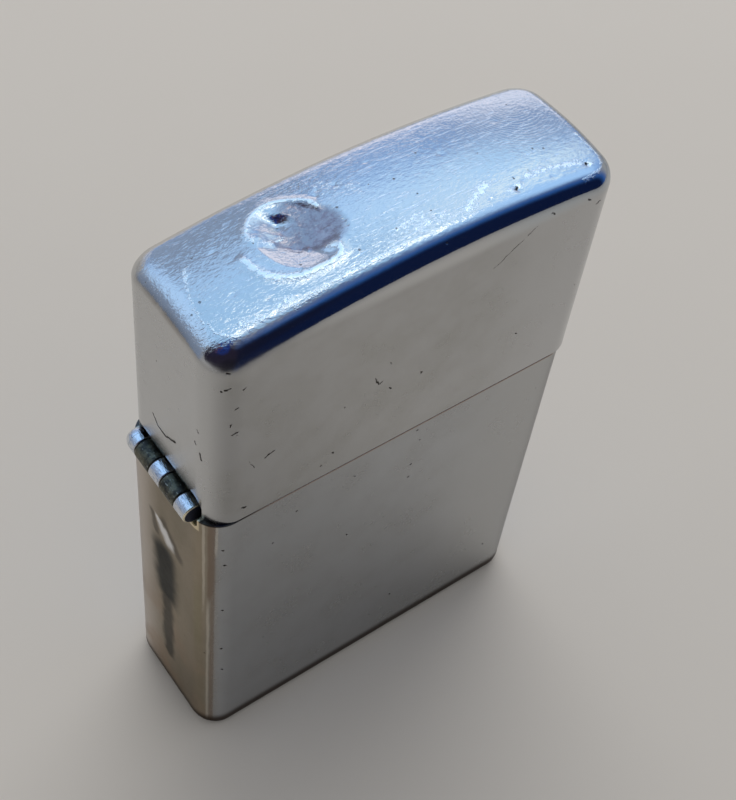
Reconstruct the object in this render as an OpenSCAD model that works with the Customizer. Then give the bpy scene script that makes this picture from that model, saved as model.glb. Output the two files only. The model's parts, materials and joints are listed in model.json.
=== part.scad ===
// Flip-lid petrol lighter, standing closed.
// The origin is the middle of the base. +Z is up, the hinge is at -X and the front is at -Y.
// All sizes are in millimetres.

/* [Case] */
// Width of the case from the hinge end to the free end
case_w = 37; // [31:0.5:46]
// Depth of the case from front to back
case_d = 12.9; // [11.5:0.1:16]
// Height of the seam between the lower case and the lid
seam_z = 35.4; // [29:0.2:44]
// Height of the lid from the seam to the top of its crown
lid_h = 22.2; // [20:0.2:27]
// Sheet thickness of the lower case and the lid
case_wall = 0.7; // [0.5:0.02:0.9]
// Radius of the upright corners in plan
corner_r = 2.5; // [1.9:0.1:3.2]
// Radius of the edge round the base
base_edge_r = 1; // [0.75:0.05:1.5]
// Radius of the edges along the front and back of the lid's top
lid_edge_r = 1.6; // [1.2:0.1:2.4]
// Radius of the edges at the two ends of the lid's top
lid_end_r = 1.2; // [1.2:0.1:2.2]
// Rise of the lid's crown from its ends to its middle
crown = 1.5; // [0.5:0.1:2]
// Rise of the lid's dome from its front and back edges to its middle
dome = 0.8; // [0.2:0.1:0.8]
// Gap between the two rims at the seam
seam_gap = 0.25; // [0.15:0.05:0.4]
// How far the worn hinge lets the lid sit towards the free end
lid_shift = 0.45; // [0.2:0.05:0.6]

/* [Dent] */
// Radius of the dent in the top of the lid
dent_r = 3.1; // [1.5:0.1:4]
// Depth of the dent
dent_depth = 0.5; // [0.2:0.05:0.8]
// Distance of the dent from the lid's middle towards the hinge
dent_x = 8; // [4:0.5:10]

/* [Hinge] */
// Outer radius of the hinge barrel
barrel_r = 1; // [0.85:0.05:1.25]
// Length of the hinge barrel
barrel_l = 9.2; // [8:0.1:10]
// Length of each of the lid's two knuckles
lid_knuckle_l = 2.15; // [1.6:0.05:2.4]
// How far the middle of the hinge sits towards the back
hinge_y = 0.5; // [0:0.1:0.6]
// Distance of the hinge axis inside the end face of the lower case
axis_inset = 0.25; // [0.1:0.05:0.35]
// Diameter of the hinge pin
pin_d = 1; // [0.8:0.05:1.2]
// Thickness of the two hinge leaves
leaf_t = 0.45; // [0.35:0.05:0.6]
// Length of each hinge leaf along its wall
leaf_l = 7; // [5:0.5:10]
// Height of the cut-away in the lid's end wall above the hinge axis
lid_notch_h = 2.1; // [1.6:0.1:3]

/* [Insert] */
// Sheet thickness of the insert and its chimney
sheet_t = 0.5; // [0.4:0.05:0.6]
// Height of the top of the insert above the seam
tank_rise = 1.3; // [0.8:0.1:2]
// Radius of the insert's upright corners
tank_corner_r = 1.8; // [1:0.1:2.4]
// Thickness of the felt pad under the packing
felt_t = 2.5; // [1.5:0.1:4]

/* [Chimney] */
// Height of the chimney above the top of the insert
chimney_h = 15.8; // [13:0.2:16.5]
// How far the chimney walls stand inside the insert's sides
chimney_inset = 0.7; // [0.5:0.1:1.2]
// Diameter of the wind holes
wind_hole_d = 2.4; // [1.6:0.1:2.8]
// Distance between wind holes along a row
wind_hole_step = 4.1; // [3.2:0.1:4.4]
// Distance between the rows of wind holes
wind_row_step = 3.7; // [3:0.1:4]

/* [Wick] */
// Diameter of the wick
wick_d = 3; // [2.4:0.1:3.6]
// Height of the wick above the top of the insert
wick_rise = 9; // [6:0.5:12]
// How far the wick sways to each side between the pieces of packing
wick_sway = 1.8; // [0:0.1:2.2]

/* [Wheel and flint] */
// Radius of the striking wheel over its teeth
wheel_r = 3.3; // [2.7:0.1:4]
// Width of the toothed rim
rim_w = 5.6; // [4:0.1:7]
// Number of teeth round the wheel
wheel_teeth = 36; // [24:1:44]
// Depth of the teeth
tooth_h = 0.3; // [0.15:0.05:0.4]
// Height of the wheel's axle above the top of the insert
wheel_rise = 8.2; // [7.4:0.1:9.4]
// Distance of the axle from the free end of the insert
wheel_inset = 5.8; // [5.4:0.1:7]
// Diameter of the wheel's axle
axle_d = 1.5; // [1:0.1:1.8]
// Diameter of the flint
flint_d = 2.5; // [2:0.1:3]
// Length of a new flint
flint_l = 5; // [3:0.5:6]
// Wall of the flint tube
tube_wall = 0.65; // [0.5:0.05:0.8]
// Diameter of the wire of the flint spring
spring_wire_d = 0.4; // [0.3:0.05:0.5]
// Number of turns of the flint spring
spring_turns = 22; // [14:1:26]

/* [Cam] */
// Width of the cam
cam_w = 3.6; // [2.4:0.1:4.4]
// Length of the cam's finger from its pivot
finger_l = 4.5; // [3.5:0.1:4.8]
// Height of the cam's pivot above the top of the insert
cam_rise = 1.9; // [1.7:0.1:2.4]
// Diameter of the cam's rivet
cam_rivet_d = 1.1; // [0.8:0.1:1.4]

/* [Hidden] */
$fn = 72;
crown_fn = 720;

// Clearances
run_gap = 0.03;      // round a turning pin
knuckle_gap = 0.15;  // round the barrel and beside the knuckles
knuckle_side = 0.04; // between neighbouring knuckles, on each
notch_front = 0.6;   // before the barrel's front end, where the walls are cut away
notch_back = 0.25;   // behind its back end
fit_gap = 0.15;      // insert in the case
soft_gap = 0.3;      // round wick and packing
flint_gap = 0.1;     // flint in its tube, and below the wheel
crease = 0.03;       // keeps the edge rounds from touching the walls in a line
overrun = 1;         // cutters pass this far through

// Case and lid
half_w = case_w / 2;
half_d = case_d / 2;
lid_z0 = seam_z + seam_gap;
lid_top = seam_z + lid_h;
crown_r = (half_w * half_w + crown * crown) / (2 * crown);
crown_z = lid_top - crown_r;
dome_r = (half_d * half_d + dome * dome) / (2 * dome);
crown_lift = 0.02;
dent_y = 0.3;
dent_ball_r = (dent_r * dent_r + dent_depth * dent_depth) / (2 * dent_depth);
dent_z = crown_z + sqrt(crown_r * crown_r - dent_x * dent_x) - dent_depth + dent_ball_r;

// Hinge
axis_x = axis_inset - half_w;
axis_z = seam_z;
knuckles = 5;
case_knuckle_l = (barrel_l - 2 * lid_knuckle_l) / 3;
case_leaf_x = case_wall - half_w;
lid_leaf_x = case_leaf_x + lid_shift;
notch_half = (barrel_l + notch_front + notch_back) / 2;
notch_y = hinge_y + (notch_back - notch_front) / 2;
leaf_y0 = max(hinge_y - barrel_l / 2, corner_r - half_d);
leaf_y1 = min(hinge_y + barrel_l / 2, half_d - corner_r);
notch_r = 1.2;
case_notch_r = 0.5;
web_z = 0.35;
web_t = 0.55;

// Insert
leaf_gap = 0.35;
tank_x0 = lid_leaf_x + leaf_t + leaf_gap;
tank_x1 = half_w - case_wall - fit_gap;
tank_y = half_d - case_wall - fit_gap;
tank_z0 = case_wall + fit_gap;
tank_top = seam_z + tank_rise;
plate_z = tank_top - sheet_t;
felt_lift = 0.1;
felt_z = tank_z0 + felt_lift;
inner_x0 = tank_x0 + sheet_t;

// Cam and its leaf spring
cam_inset = 3.5;
cam_x = tank_x0 + cam_inset;
cam_z = tank_top + cam_rise;
finger_angle = 128;
finger_r = 0.45;
cam_body_r = 1.35;
finger_tip_half = 0.36;
cam_foot_half = 1.1;
leaf_spring_t = 0.25;
leaf_spring_gap = 0.05;
leaf_spring_z = plate_z - leaf_spring_gap;
cam_foot_r = cam_z - leaf_spring_z - flint_gap;
ear_r = 1.3;
cam_ear_y = cam_w / 2 + fit_gap;
cam_slot_x = 2.2;
spring_rivet_d = 1.2;
spring_reach = 5.9;
spring_rivet_x = cam_x + spring_reach;
rivet_head_t = 0.4;
rivet_head_over = 0.45;

// Chimney, wheel and wick
cam_bay = 3.9;
chimney_x0 = cam_x + cam_bay;
chimney_y = tank_y - chimney_inset;
chimney_corner_r = 2;
wind_top = 2.2;
wheel_x = tank_x1 - wheel_inset;
wheel_z = tank_top + wheel_rise;
wheel_side_gap = 0.2;
chimney_x1 = wheel_x - wheel_r - wheel_side_gap;
wheel_ear_r = 2.2;
axle_head_r = axle_d / 2 + rivet_head_over;
axle_head_t = 0.35;
hub_r = 1.9;
hub_half = chimney_y - sheet_t - wheel_side_gap;
wick_r = wick_d / 2;
wick_inset = 7.4;
wick_x = chimney_x0 + wick_inset;
wick_top = tank_top + wick_rise;

// Flint feed, from the screw up
screw_head_r = 2.5;
screw_head_h = 1.6;
screw_slot = 0.7;
thread_d = 3.2;
thread_l = 5.5;
pilot_r = 0.5;
pilot_l = 2;
head_z = tank_z0 + soft_gap;
tube_z0 = head_z + screw_head_h;
tube_bore_r = flint_d / 2 + flint_gap;
tube_r = max(tube_bore_r, thread_d / 2 + run_gap) + tube_wall;
flint_top = wheel_z - wheel_r - flint_gap;
flint_z = flint_top - flint_l;
flint_stand = 0.8;
tube_top = flint_top - flint_stand;
tip_h = 1.2;
tip_z = flint_z - tip_h;
spring_z0 = tube_z0 + thread_l;
spring_r = tube_bore_r - spring_wire_d / 2 - flint_gap;
spring_pitch = (tip_z - spring_z0 - spring_wire_d) / spring_turns;

// Packing rows, alternately between the tank's end and the wick, and the wick and the flint tube
packs = 5;
pack_z0 = felt_z + felt_t + soft_gap;
pack_head_room = 1;
pack_z1 = leaf_spring_z - leaf_spring_t - pack_head_room;
pack_room = pack_z1 - pack_z0;
pack_half_z = (pack_room - 2 * soft_gap) / (packs + 1);
pack_step = (pack_room - 2 * pack_half_z) / (packs - 1);
pack_flat = 0.4;
pack_draw = 1.3; // a slanting gap opens more slowly than the packing draws back
wick_rings = 56;
wick_sides = 8;

function pack_row_z(i) = pack_z1 - pack_half_z - i * pack_step;
function is_left(i) = i % 2 == 0;
function pack_bay(i) = is_left(i)
    ? [inner_x0 - crease, wick_x - wick_r]
    : [wick_x + wick_r, wheel_x - tube_r];
function pack_corner_r(half_x) = min(half_x, pack_half_z) - pack_flat;

// The wick hangs straight under the plate and sways round the packing below it
function wick_fade(z) = min(1, max(0, (plate_z - z) / (plate_z - pack_row_z(0))));
function wick_at(z) = [
    wick_x + wick_sway * wick_fade(z) * cos(180 * (z - pack_row_z(0)) / pack_step), 0, z];

// How far a piece as wide as its bay would fall short of its gap to the swaying wick
function wick_shortage(i) =
    let (bay = pack_bay(i), x = (bay[0] + bay[1]) / 2, z = pack_row_z(i))
    let (half_x = (bay[1] - bay[0]) / 2 - soft_gap, r = pack_corner_r(half_x))
    let (reach = [for (s = [-1.5:0.1:1.5])
        let (p = wick_at(z + s * pack_step))
        norm([max(0, abs(p.x - x) - half_x + r), max(0, abs(p.z - z) - pack_half_z + r)])])
    max(0, soft_gap + wick_r + r - min(reach));

// Flint spring's wire
spring_rings = 8 * spring_turns;
spring_sides = 6;
function spring_at(i) =
    let (a = 360 * i / 8)
    [spring_r * cos(a), spring_r * sin(a), spring_z0 + (i / 8) * spring_pitch + spring_wire_d / 2];
spring_gap = min([for (i = [8:spring_rings], j = [max(0, i - 10):i - 6])
    norm(spring_at(i) - spring_at(j))]) - spring_wire_d;
echo(least_gap_between_spring_turns = spring_gap);

// Tube swept along a list of points, with its rings square to the path
function unit(v) = v / norm(v);
function path_dir(path, i) = unit(path[min(i + 1, len(path) - 1)] - path[max(i - 1, 0)]);
function ring(p, dir, side_dir, r, sides) =
    let (u = unit(cross(side_dir, dir)), v = cross(dir, u))
    [for (k = [0:sides - 1]) p + r * (cos(360 * k / sides) * u + sin(360 * k / sides) * v)];
module swept_tube(path, side_dirs, r, sides) {
    n = len(path);
    points = [for (i = [0:n - 1]) each ring(path[i], path_dir(path, i), side_dirs[i], r, sides)];
    walls = [for (i = [0:n - 2], k = [0:sides - 1])
        let (a = i * sides + k, b = i * sides + (k + 1) % sides)
        each [[a, b, a + sides], [b, b + sides, a + sides]]];
    first_cap = [for (k = [1:sides - 2]) [0, k + 1, k]];
    last = (n - 1) * sides;
    last_cap = [for (k = [1:sides - 2]) [last, last + k, last + k + 1]];
    polyhedron(points, concat(walls, first_cap, last_cap));
}

// Outlines
module rounded_rect(half_x, half_y, r) {
    square([2 * half_x, 2 * (half_y - r)], center = true);
    square([2 * (half_x - r), 2 * half_y], center = true);
    for (sx = [-1, 1], sy = [-1, 1])
        translate([sx * (half_x - r), sy * (half_y - r)]) circle(r);
}
// Upright rectangle with its upper corners rounded
module round_top(half, z0, z1, r) {
    translate([-half, z0]) square([2 * half, z1 - r - z0]);
    translate([r - half, z0]) square([2 * (half - r), z1 - z0]);
    for (s = [-1, 1]) translate([s * (half - r), z1 - r]) circle(r);
}
module round_foot(half, z0, z1, r) {
    mirror([0, 1]) round_top(half, -z1, -z0, r);
}
// Upright outline with an arched top and its upper corners rounded
module arched_top(half, z0, z1, arch_r, r) {
    corner_x = half - r;
    arch_z = z1 - arch_r;
    corner_z = arch_z + sqrt((arch_r - r) * (arch_r - r) - corner_x * corner_x) + crown_lift;
    intersection() {
        translate([0, arch_z]) circle(arch_r, $fn = crown_fn);
        translate([-corner_x, z0]) square([2 * corner_x, z1 - z0 + overrun]);
    }
    translate([-half, z0]) square([2 * half, corner_z - z0]);
    for (s = [-1, 1]) translate([s * corner_x, corner_z]) circle(r);
}

// An outline in X and Z, drawn out along Y, and one in Y and Z, drawn out along X
module along_y(length) {
    rotate([90, 0, 0]) linear_extrude(length, center = true) children();
}
module along_x(length) {
    rotate([90, 0, 90]) linear_extrude(length, center = true) children();
}
module rod_y(r, length) {
    rotate([90, 0, 0]) cylinder(r = r, h = length, center = true);
}

// Case and lid, whole blocks set in from the outside by a wall
module case_block(inset, z0, z1) {
    edge_r = base_edge_r - inset;
    intersection() {
        translate([0, 0, z0]) linear_extrude(z1 - z0)
            rounded_rect(half_w - inset, half_d - inset, corner_r - inset);
        along_y(2 * case_d) round_foot(half_w - inset + crease, z0, z1 + 2 * overrun, edge_r);
        along_x(2 * case_w) round_foot(half_d - inset + crease, z0, z1 + 2 * overrun, edge_r);
    }
}
// The profile across the lid is turned about the middle of the crown, so that its edges follow it
module lid_block(inset, z0) {
    low_r = crown_r - crown - lid_h - 2 * overrun;
    intersection() {
        translate([0, 0, z0]) linear_extrude(lid_top - z0 + overrun)
            rounded_rect(half_w - inset, half_d - inset, corner_r - inset);
        along_y(2 * case_d) arched_top(
            half_w - inset + crease, z0 - overrun, lid_top - inset, crown_r - inset, lid_end_r - inset);
        translate([0, 0, crown_z]) rotate([90, 0, 0]) rotate_extrude($fn = crown_fn) rotate(-90)
            arched_top(
                half_d - inset + crease, low_r, crown_r - inset, dome_r - inset, lid_edge_r - inset);
    }
}
module dent_ball(extra) {
    translate([-dent_x, dent_y, dent_z]) sphere(dent_ball_r + extra, $fn = 144);
}

module lower_case() {
    color("silver") difference() {
        case_block(0, 0, seam_z);
        case_block(case_wall, case_wall, seam_z + overrun);
        translate([-half_w, notch_y, 0]) along_x(6 * case_wall)
            round_foot(notch_half, axis_z - barrel_r - knuckle_gap, seam_z + overrun, case_notch_r);
    }
}

module lid() {
    color("silver") difference() {
        translate([lid_shift, 0, 0]) difference() {
            lid_block(0, lid_z0);
            difference() {
                lid_block(case_wall, lid_z0 - overrun);
                dent_ball(case_wall);
            }
            dent_ball(0);
        }
        translate([lid_shift - half_w, notch_y, 0]) along_x(6 * case_wall)
            round_top(notch_half, lid_z0 - overrun, axis_z + lid_notch_h, notch_r);
    }
}

// Hinge
function knuckle_l(i) = i % 2 == 0 ? case_knuckle_l : lid_knuckle_l;
function knuckle_y(i) = hinge_y + (i - (knuckles - 1) / 2) * (case_knuckle_l + lid_knuckle_l) / 2;
module knuckle(i) {
    translate([axis_x, knuckle_y(i), axis_z]) rod_y(barrel_r, knuckle_l(i) - 2 * knuckle_side);
}
module knuckle_slab(i, x0, x1, z0, z1) {
    half = knuckle_l(i) / 2 - knuckle_side;
    y0 = max(leaf_y0, knuckle_y(i) - half);
    y1 = min(leaf_y1, knuckle_y(i) + half);
    translate([x0, y0, z0]) cube([x1 - x0, y1 - y0, z1 - z0]);
}
module hinge_bore() {
    translate([axis_x, hinge_y, axis_z]) rod_y(pin_d / 2 + run_gap, barrel_l + 2 * overrun);
}

module case_hinge_plate() {
    color("lightgray") difference() {
        union() {
            translate([case_leaf_x, leaf_y0, axis_z - leaf_l])
                cube([leaf_t, leaf_y1 - leaf_y0, leaf_l - barrel_r - knuckle_gap]);
            for (i = [0:2:knuckles - 1]) {
                knuckle_slab(i, case_leaf_x, case_leaf_x + leaf_t, axis_z - 2 * barrel_r, axis_z);
                knuckle(i);
            }
        }
        hinge_bore();
    }
}

module lid_hinge_plate() {
    color("dimgray") difference() {
        union() {
            translate([lid_leaf_x, leaf_y0, axis_z + barrel_r + knuckle_gap])
                cube([leaf_t, leaf_y1 - leaf_y0, leaf_l - barrel_r - knuckle_gap]);
            for (i = [1:2:knuckles - 2]) {
                knuckle_slab(i, lid_leaf_x, lid_leaf_x + leaf_t, axis_z + web_z, axis_z + 2 * barrel_r);
                knuckle_slab(i, axis_x, lid_leaf_x + leaf_t, axis_z + web_z, axis_z + web_z + web_t);
                knuckle(i);
            }
        }
        hinge_bore();
    }
}

module hinge_pin() {
    color("gray") translate([axis_x, hinge_y, axis_z]) rod_y(pin_d / 2, barrel_l);
}

// Insert
module tank_plan(inset) {
    translate([(tank_x0 + tank_x1) / 2, 0])
        rounded_rect((tank_x1 - tank_x0) / 2 - inset, tank_y - inset, tank_corner_r - inset);
}
module cam_ear(s) {
    translate([cam_x, s * (cam_ear_y + sheet_t / 2), 0]) along_y(sheet_t) {
        translate([-ear_r, plate_z]) square([2 * ear_r, cam_z - plate_z]);
        translate([0, cam_z]) circle(ear_r);
    }
}
module insert_tank() {
    color("lightsteelblue") difference() {
        union() {
            difference() {
                translate([0, 0, tank_z0]) linear_extrude(tank_top - tank_z0) tank_plan(0);
                translate([0, 0, tank_z0 - overrun]) linear_extrude(plate_z - tank_z0 + overrun)
                    tank_plan(sheet_t);
            }
            for (s = [-1, 1]) cam_ear(s);
        }
        translate([wick_x, 0, plate_z - overrun]) cylinder(r = wick_r + fit_gap, h = sheet_t + 2 * overrun);
        translate([wheel_x, 0, plate_z - overrun]) cylinder(r = tube_r + run_gap, h = sheet_t + 2 * overrun);
        translate([spring_rivet_x, 0, plate_z - overrun])
            cylinder(d = spring_rivet_d + 2 * run_gap, h = sheet_t + 2 * overrun);
        translate([cam_x - cam_slot_x, -cam_ear_y, plate_z - overrun])
            cube([2 * cam_slot_x, 2 * cam_ear_y, sheet_t + 2 * overrun]);
        translate([cam_x, 0, cam_z]) rod_y(cam_rivet_d / 2 + run_gap, case_d);
    }
}

module felt_pad() {
    color("beige") difference() {
        translate([0, 0, felt_z]) linear_extrude(felt_t) tank_plan(sheet_t + fit_gap);
        translate([wheel_x, 0, felt_z - overrun])
            cylinder(r = max(screw_head_r, tube_r) + soft_gap, h = felt_t + 2 * overrun);
    }
}

module wick() {
    wick_bottom = pack_row_z(packs - 1);
    path = [for (i = [0:wick_rings]) wick_at(wick_top - (wick_top - wick_bottom) * i / wick_rings)];
    color("ivory") swept_tube(path, [for (p = path) [0, 1, 0]], wick_r, wick_sides);
}

// A piece of cotton that fills its bay, drawn back on the wick's side and rounded like the tank
module packing(i) {
    bay = pack_bay(i);
    back = pack_draw * wick_shortage(i) / 2;
    x = (bay[0] + bay[1]) / 2 + (is_left(i) ? -back : back);
    half_x = (bay[1] - bay[0]) / 2 - soft_gap - back;
    color("whitesmoke") translate([0, 0, pack_row_z(i)]) intersection() {
        translate([x, 0, 0]) along_y(case_d) rounded_rect(half_x, pack_half_z, pack_corner_r(half_x));
        linear_extrude(2 * (pack_half_z + overrun), center = true) tank_plan(sheet_t + soft_gap);
    }
}

// Chimney: two long walls joined round the cam's end and open towards the wheel
module chimney_plan(inset) {
    x0 = chimney_x0 + inset;
    y = chimney_y - inset;
    r = chimney_corner_r - inset;
    x1 = wheel_x + wheel_ear_r + inset;
    translate([x0 + r, -y]) square([x1 - x0 - r, 2 * y]);
    translate([x0, r - y]) square([r + sheet_t, 2 * (y - r)]);
    for (s = [-1, 1]) translate([x0 + r, s * (y - r)]) circle(r);
}
module chimney_side() {
    translate([chimney_x0 - overrun, tank_top]) square([chimney_x1 - chimney_x0 + overrun, chimney_h]);
    translate([chimney_x0, tank_top]) square([wheel_x - chimney_x0, wheel_rise + wheel_ear_r]);
    translate([chimney_x0, tank_top]) square([wheel_x + wheel_ear_r - chimney_x0, wheel_rise]);
    translate([wheel_x, wheel_z]) circle(wheel_ear_r);
}
module wind_holes() {
    mid_x = (chimney_x0 + chimney_x1) / 2;
    mid_z = tank_top + chimney_h - wind_top - wind_row_step - wind_hole_d / 2;
    for (row = [-1:1], k = row == 0 ? [-0.5, 0.5] : [-1, 0, 1])
        translate([mid_x + k * wind_hole_step, 0, mid_z + row * wind_row_step])
            rod_y(wind_hole_d / 2, case_d);
}
module chimney() {
    color("gainsboro") difference() {
        intersection() {
            translate([0, 0, tank_top]) linear_extrude(chimney_h) difference() {
                chimney_plan(0);
                chimney_plan(sheet_t);
            }
            along_y(case_d) chimney_side();
        }
        wind_holes();
        translate([wheel_x, 0, wheel_z]) rod_y(axle_d / 2 + run_gap, case_d);
    }
}

// Wheel and axle
module flint_wheel() {
    color("dimgray") translate([wheel_x, 0, wheel_z]) difference() {
        union() {
            along_y(rim_w) polygon([for (i = [0:2 * wheel_teeth - 1])
                let (r = wheel_r - tooth_h * (i % 2), a = 180 * i / wheel_teeth)
                [r * cos(a), r * sin(a)]]);
            rod_y(hub_r, 2 * hub_half);
        }
        rod_y(axle_d / 2 + run_gap, case_d);
    }
}
module wheel_axle() {
    color("silver") translate([wheel_x, 0, wheel_z]) {
        rod_y(axle_d / 2, 2 * chimney_y);
        for (s = [-1, 1])
            translate([0, s * (chimney_y + axle_head_t / 2), 0]) rod_y(axle_head_r, axle_head_t);
    }
}

// Flint feed
module flint_tube() {
    color("goldenrod") translate([wheel_x, 0, 0]) difference() {
        translate([0, 0, tube_z0]) cylinder(r = tube_r, h = tube_top - tube_z0);
        translate([0, 0, tube_z0 - overrun]) cylinder(r = tube_bore_r, h = tube_top - tube_z0 + 2 * overrun);
        translate([0, 0, tube_z0 - overrun])
            cylinder(d = thread_d + 2 * run_gap, h = thread_l + soft_gap + overrun);
    }
}
module flint_screw() {
    color("goldenrod") translate([wheel_x, 0, head_z]) difference() {
        union() {
            cylinder(r = screw_head_r, h = screw_head_h);
            cylinder(d = thread_d, h = screw_head_h + thread_l);
            cylinder(r = pilot_r, h = screw_head_h + thread_l + pilot_l);
        }
        translate([-screw_slot / 2, -2 * screw_head_r, -overrun])
            cube([screw_slot, 4 * screw_head_r, screw_slot + overrun]);
    }
}
module flint_spring() {
    path = [for (i = [0:spring_rings]) spring_at(i)];
    color("lightgray") translate([wheel_x, 0, 0])
        swept_tube(path, [for (p = path) [0, 0, 1]], spring_wire_d / 2, spring_sides);
}
module spring_tip() {
    color("goldenrod") translate([wheel_x, 0, 0]) {
        translate([0, 0, tip_z]) cylinder(d = flint_d, h = tip_h);
        translate([0, 0, tip_z - pilot_l]) cylinder(r = pilot_r, h = pilot_l + tip_h);
    }
}
module flint() {
    color("darkslategray") translate([wheel_x, 0, flint_z]) cylinder(d = flint_d, h = flint_l);
}

// Cam, its rivet and the leaf spring under it
module cam() {
    along = [cos(finger_angle), sin(finger_angle)];
    side = [-sin(finger_angle), cos(finger_angle)];
    tip = finger_l * along;
    root_half = cam_body_r - finger_r;
    color("slategray") translate([cam_x, 0, cam_z]) difference() {
        along_y(cam_w) {
            circle(cam_body_r);
            intersection() {
                circle(cam_foot_r);
                translate([-cam_foot_half, -cam_foot_r]) square([2 * cam_foot_half, cam_foot_r]);
            }
            polygon([
                -root_half * side, tip - finger_tip_half * side,
                tip + finger_tip_half * side, root_half * side]);
            translate(tip) circle(finger_r);
        }
        rod_y(cam_rivet_d / 2 + run_gap, 2 * cam_w);
    }
}
module cam_rivet() {
    outer = cam_ear_y + sheet_t;
    color("silver") translate([cam_x, 0, cam_z]) {
        rod_y(cam_rivet_d / 2, 2 * outer);
        for (s = [-1, 1])
            translate([0, s * (outer + rivet_head_t / 2), 0])
                rod_y(cam_rivet_d / 2 + rivet_head_over, rivet_head_t);
    }
}
module cam_spring() {
    half_y = cam_w / 2 - soft_gap;
    color("lightsteelblue") translate([0, 0, leaf_spring_z - leaf_spring_t]) linear_extrude(leaf_spring_t)
        difference() {
            union() {
                translate([cam_x - cam_body_r, -half_y])
                    square([spring_reach + cam_body_r, 2 * half_y]);
                translate([spring_rivet_x, 0]) circle(half_y);
            }
            translate([spring_rivet_x, 0]) circle(d = spring_rivet_d + 2 * run_gap);
        }
}
module spring_rivet() {
    head_r = spring_rivet_d / 2 + rivet_head_over;
    low = leaf_spring_z - leaf_spring_t;
    color("silver") translate([spring_rivet_x, 0, 0]) {
        translate([0, 0, low - rivet_head_t])
            cylinder(d = spring_rivet_d, h = tank_top - low + 2 * rivet_head_t);
        for (z = [low - rivet_head_t, tank_top]) translate([0, 0, z]) cylinder(r = head_r, h = rivet_head_t);
    }
}

lower_case();
case_hinge_plate();
hinge_pin();
lid();
lid_hinge_plate();
insert_tank();
chimney();
wick();
for (i = [0:packs - 1])
    packing(i);
felt_pad();
flint_tube();
flint_screw();
flint_spring();
spring_tip();
flint();
flint_wheel();
wheel_axle();
cam();
cam_rivet();
cam_spring();
spring_rivet();
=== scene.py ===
"""Flip-lid petrol lighter in worn chrome plate, standing closed on a pale floor.

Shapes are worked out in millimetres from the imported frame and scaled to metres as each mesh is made.
"""

import json
import math

import bmesh
import bpy
import numpy as np
from mathutils import Matrix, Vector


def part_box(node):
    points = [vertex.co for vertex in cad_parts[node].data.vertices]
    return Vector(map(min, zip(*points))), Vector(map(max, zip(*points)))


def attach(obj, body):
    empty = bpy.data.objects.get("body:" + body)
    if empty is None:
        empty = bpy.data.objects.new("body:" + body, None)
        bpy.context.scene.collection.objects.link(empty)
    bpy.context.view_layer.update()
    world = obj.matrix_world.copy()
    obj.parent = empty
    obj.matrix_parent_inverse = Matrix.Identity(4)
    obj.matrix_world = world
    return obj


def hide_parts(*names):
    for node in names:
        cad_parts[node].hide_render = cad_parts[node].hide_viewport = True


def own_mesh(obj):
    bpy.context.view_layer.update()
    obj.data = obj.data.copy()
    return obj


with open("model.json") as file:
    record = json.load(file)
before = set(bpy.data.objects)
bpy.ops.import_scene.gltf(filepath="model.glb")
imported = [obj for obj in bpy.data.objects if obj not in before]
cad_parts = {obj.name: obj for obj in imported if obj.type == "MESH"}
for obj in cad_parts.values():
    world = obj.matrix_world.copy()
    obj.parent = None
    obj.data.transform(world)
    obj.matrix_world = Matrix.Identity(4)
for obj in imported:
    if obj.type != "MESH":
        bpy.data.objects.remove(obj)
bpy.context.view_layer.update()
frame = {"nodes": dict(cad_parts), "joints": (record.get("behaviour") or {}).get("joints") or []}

MM = 0.001
UP = np.array([0.0, 0.0, 1.0])
TURN = 2 * math.pi
WELD_MM = 0.0015
SHARP_DEG = 38
SOFT_DEG = 60
WAVES = 6
WAVE_SPREAD = 1.7


def box_mm(node):
    low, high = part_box(node)
    return np.array(low) / MM, np.array(high) / MM


def joint_mm(name):
    found = [j for j in frame["joints"] if j["name"] == name]
    return np.array(found[0]["pos_m"]) / MM


# Sizes taken from the frame
CASE_LO, CASE_HI = box_mm("lower_case")
LID_LO, LID_HI = box_mm("lid")
HINGE = joint_mm("lid_hinge")
CAM = joint_mm("cam_pivot")
WHEEL = joint_mm("wheel_spin")
HALF_W = (CASE_HI[0] - CASE_LO[0]) / 2
HALF_D = (CASE_HI[1] - CASE_LO[1]) / 2
SEAM_Z = CASE_HI[2]
LID_X = (LID_LO[0] + LID_HI[0]) / 2
PIN_LO, PIN_HI = box_mm("hinge_pin")
BARREL_L = PIN_HI[1] - PIN_LO[1]
BARREL_R = box_mm("case_hinge_plate")[1][2] - HINGE[2]
NOTCH_Y = (PIN_LO[1] - 0.6, PIN_HI[1] + 0.25)

# Sheet metal
WALL = 0.7
CORNER_R = 2.5
BASE_EDGE_R = 1.0
FRONT_EDGE_R = 1.85
FRONT_EDGE_TAPER = 0.018
BACK_EDGE_R = 1.5
LEFT_EDGE = (2.3, 1.15)
RIGHT_EDGE = (1.35, 1.1)
CROWN_R = 114.8
CROWN_X = 2.2
DOME_R = 26.4
RIM_R = 0.1
SEAM_GAP = 0.05
GRID_STEP = 0.2
FINE_STEP = 0.09
LID_ROWS = 32
CASE_ROWS = 70
FOOT_INSET = 2.6
FOOT_SLOPE = 1.5
FOOT_DISH = 0.12
CORNER_STEPS = 16
CUT_DEG = 0.25
TOP_RINGS = 8
EDGE_RINGS = 15
INNER_EDGE_R = 0.25
WALL_FADE = 6
LID_NOTCH_TOP = 37.5
LID_NOTCH_R = 1.2
CASE_NOTCH_FLOOR = 34.25
CASE_NOTCH_R = 0.5


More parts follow.
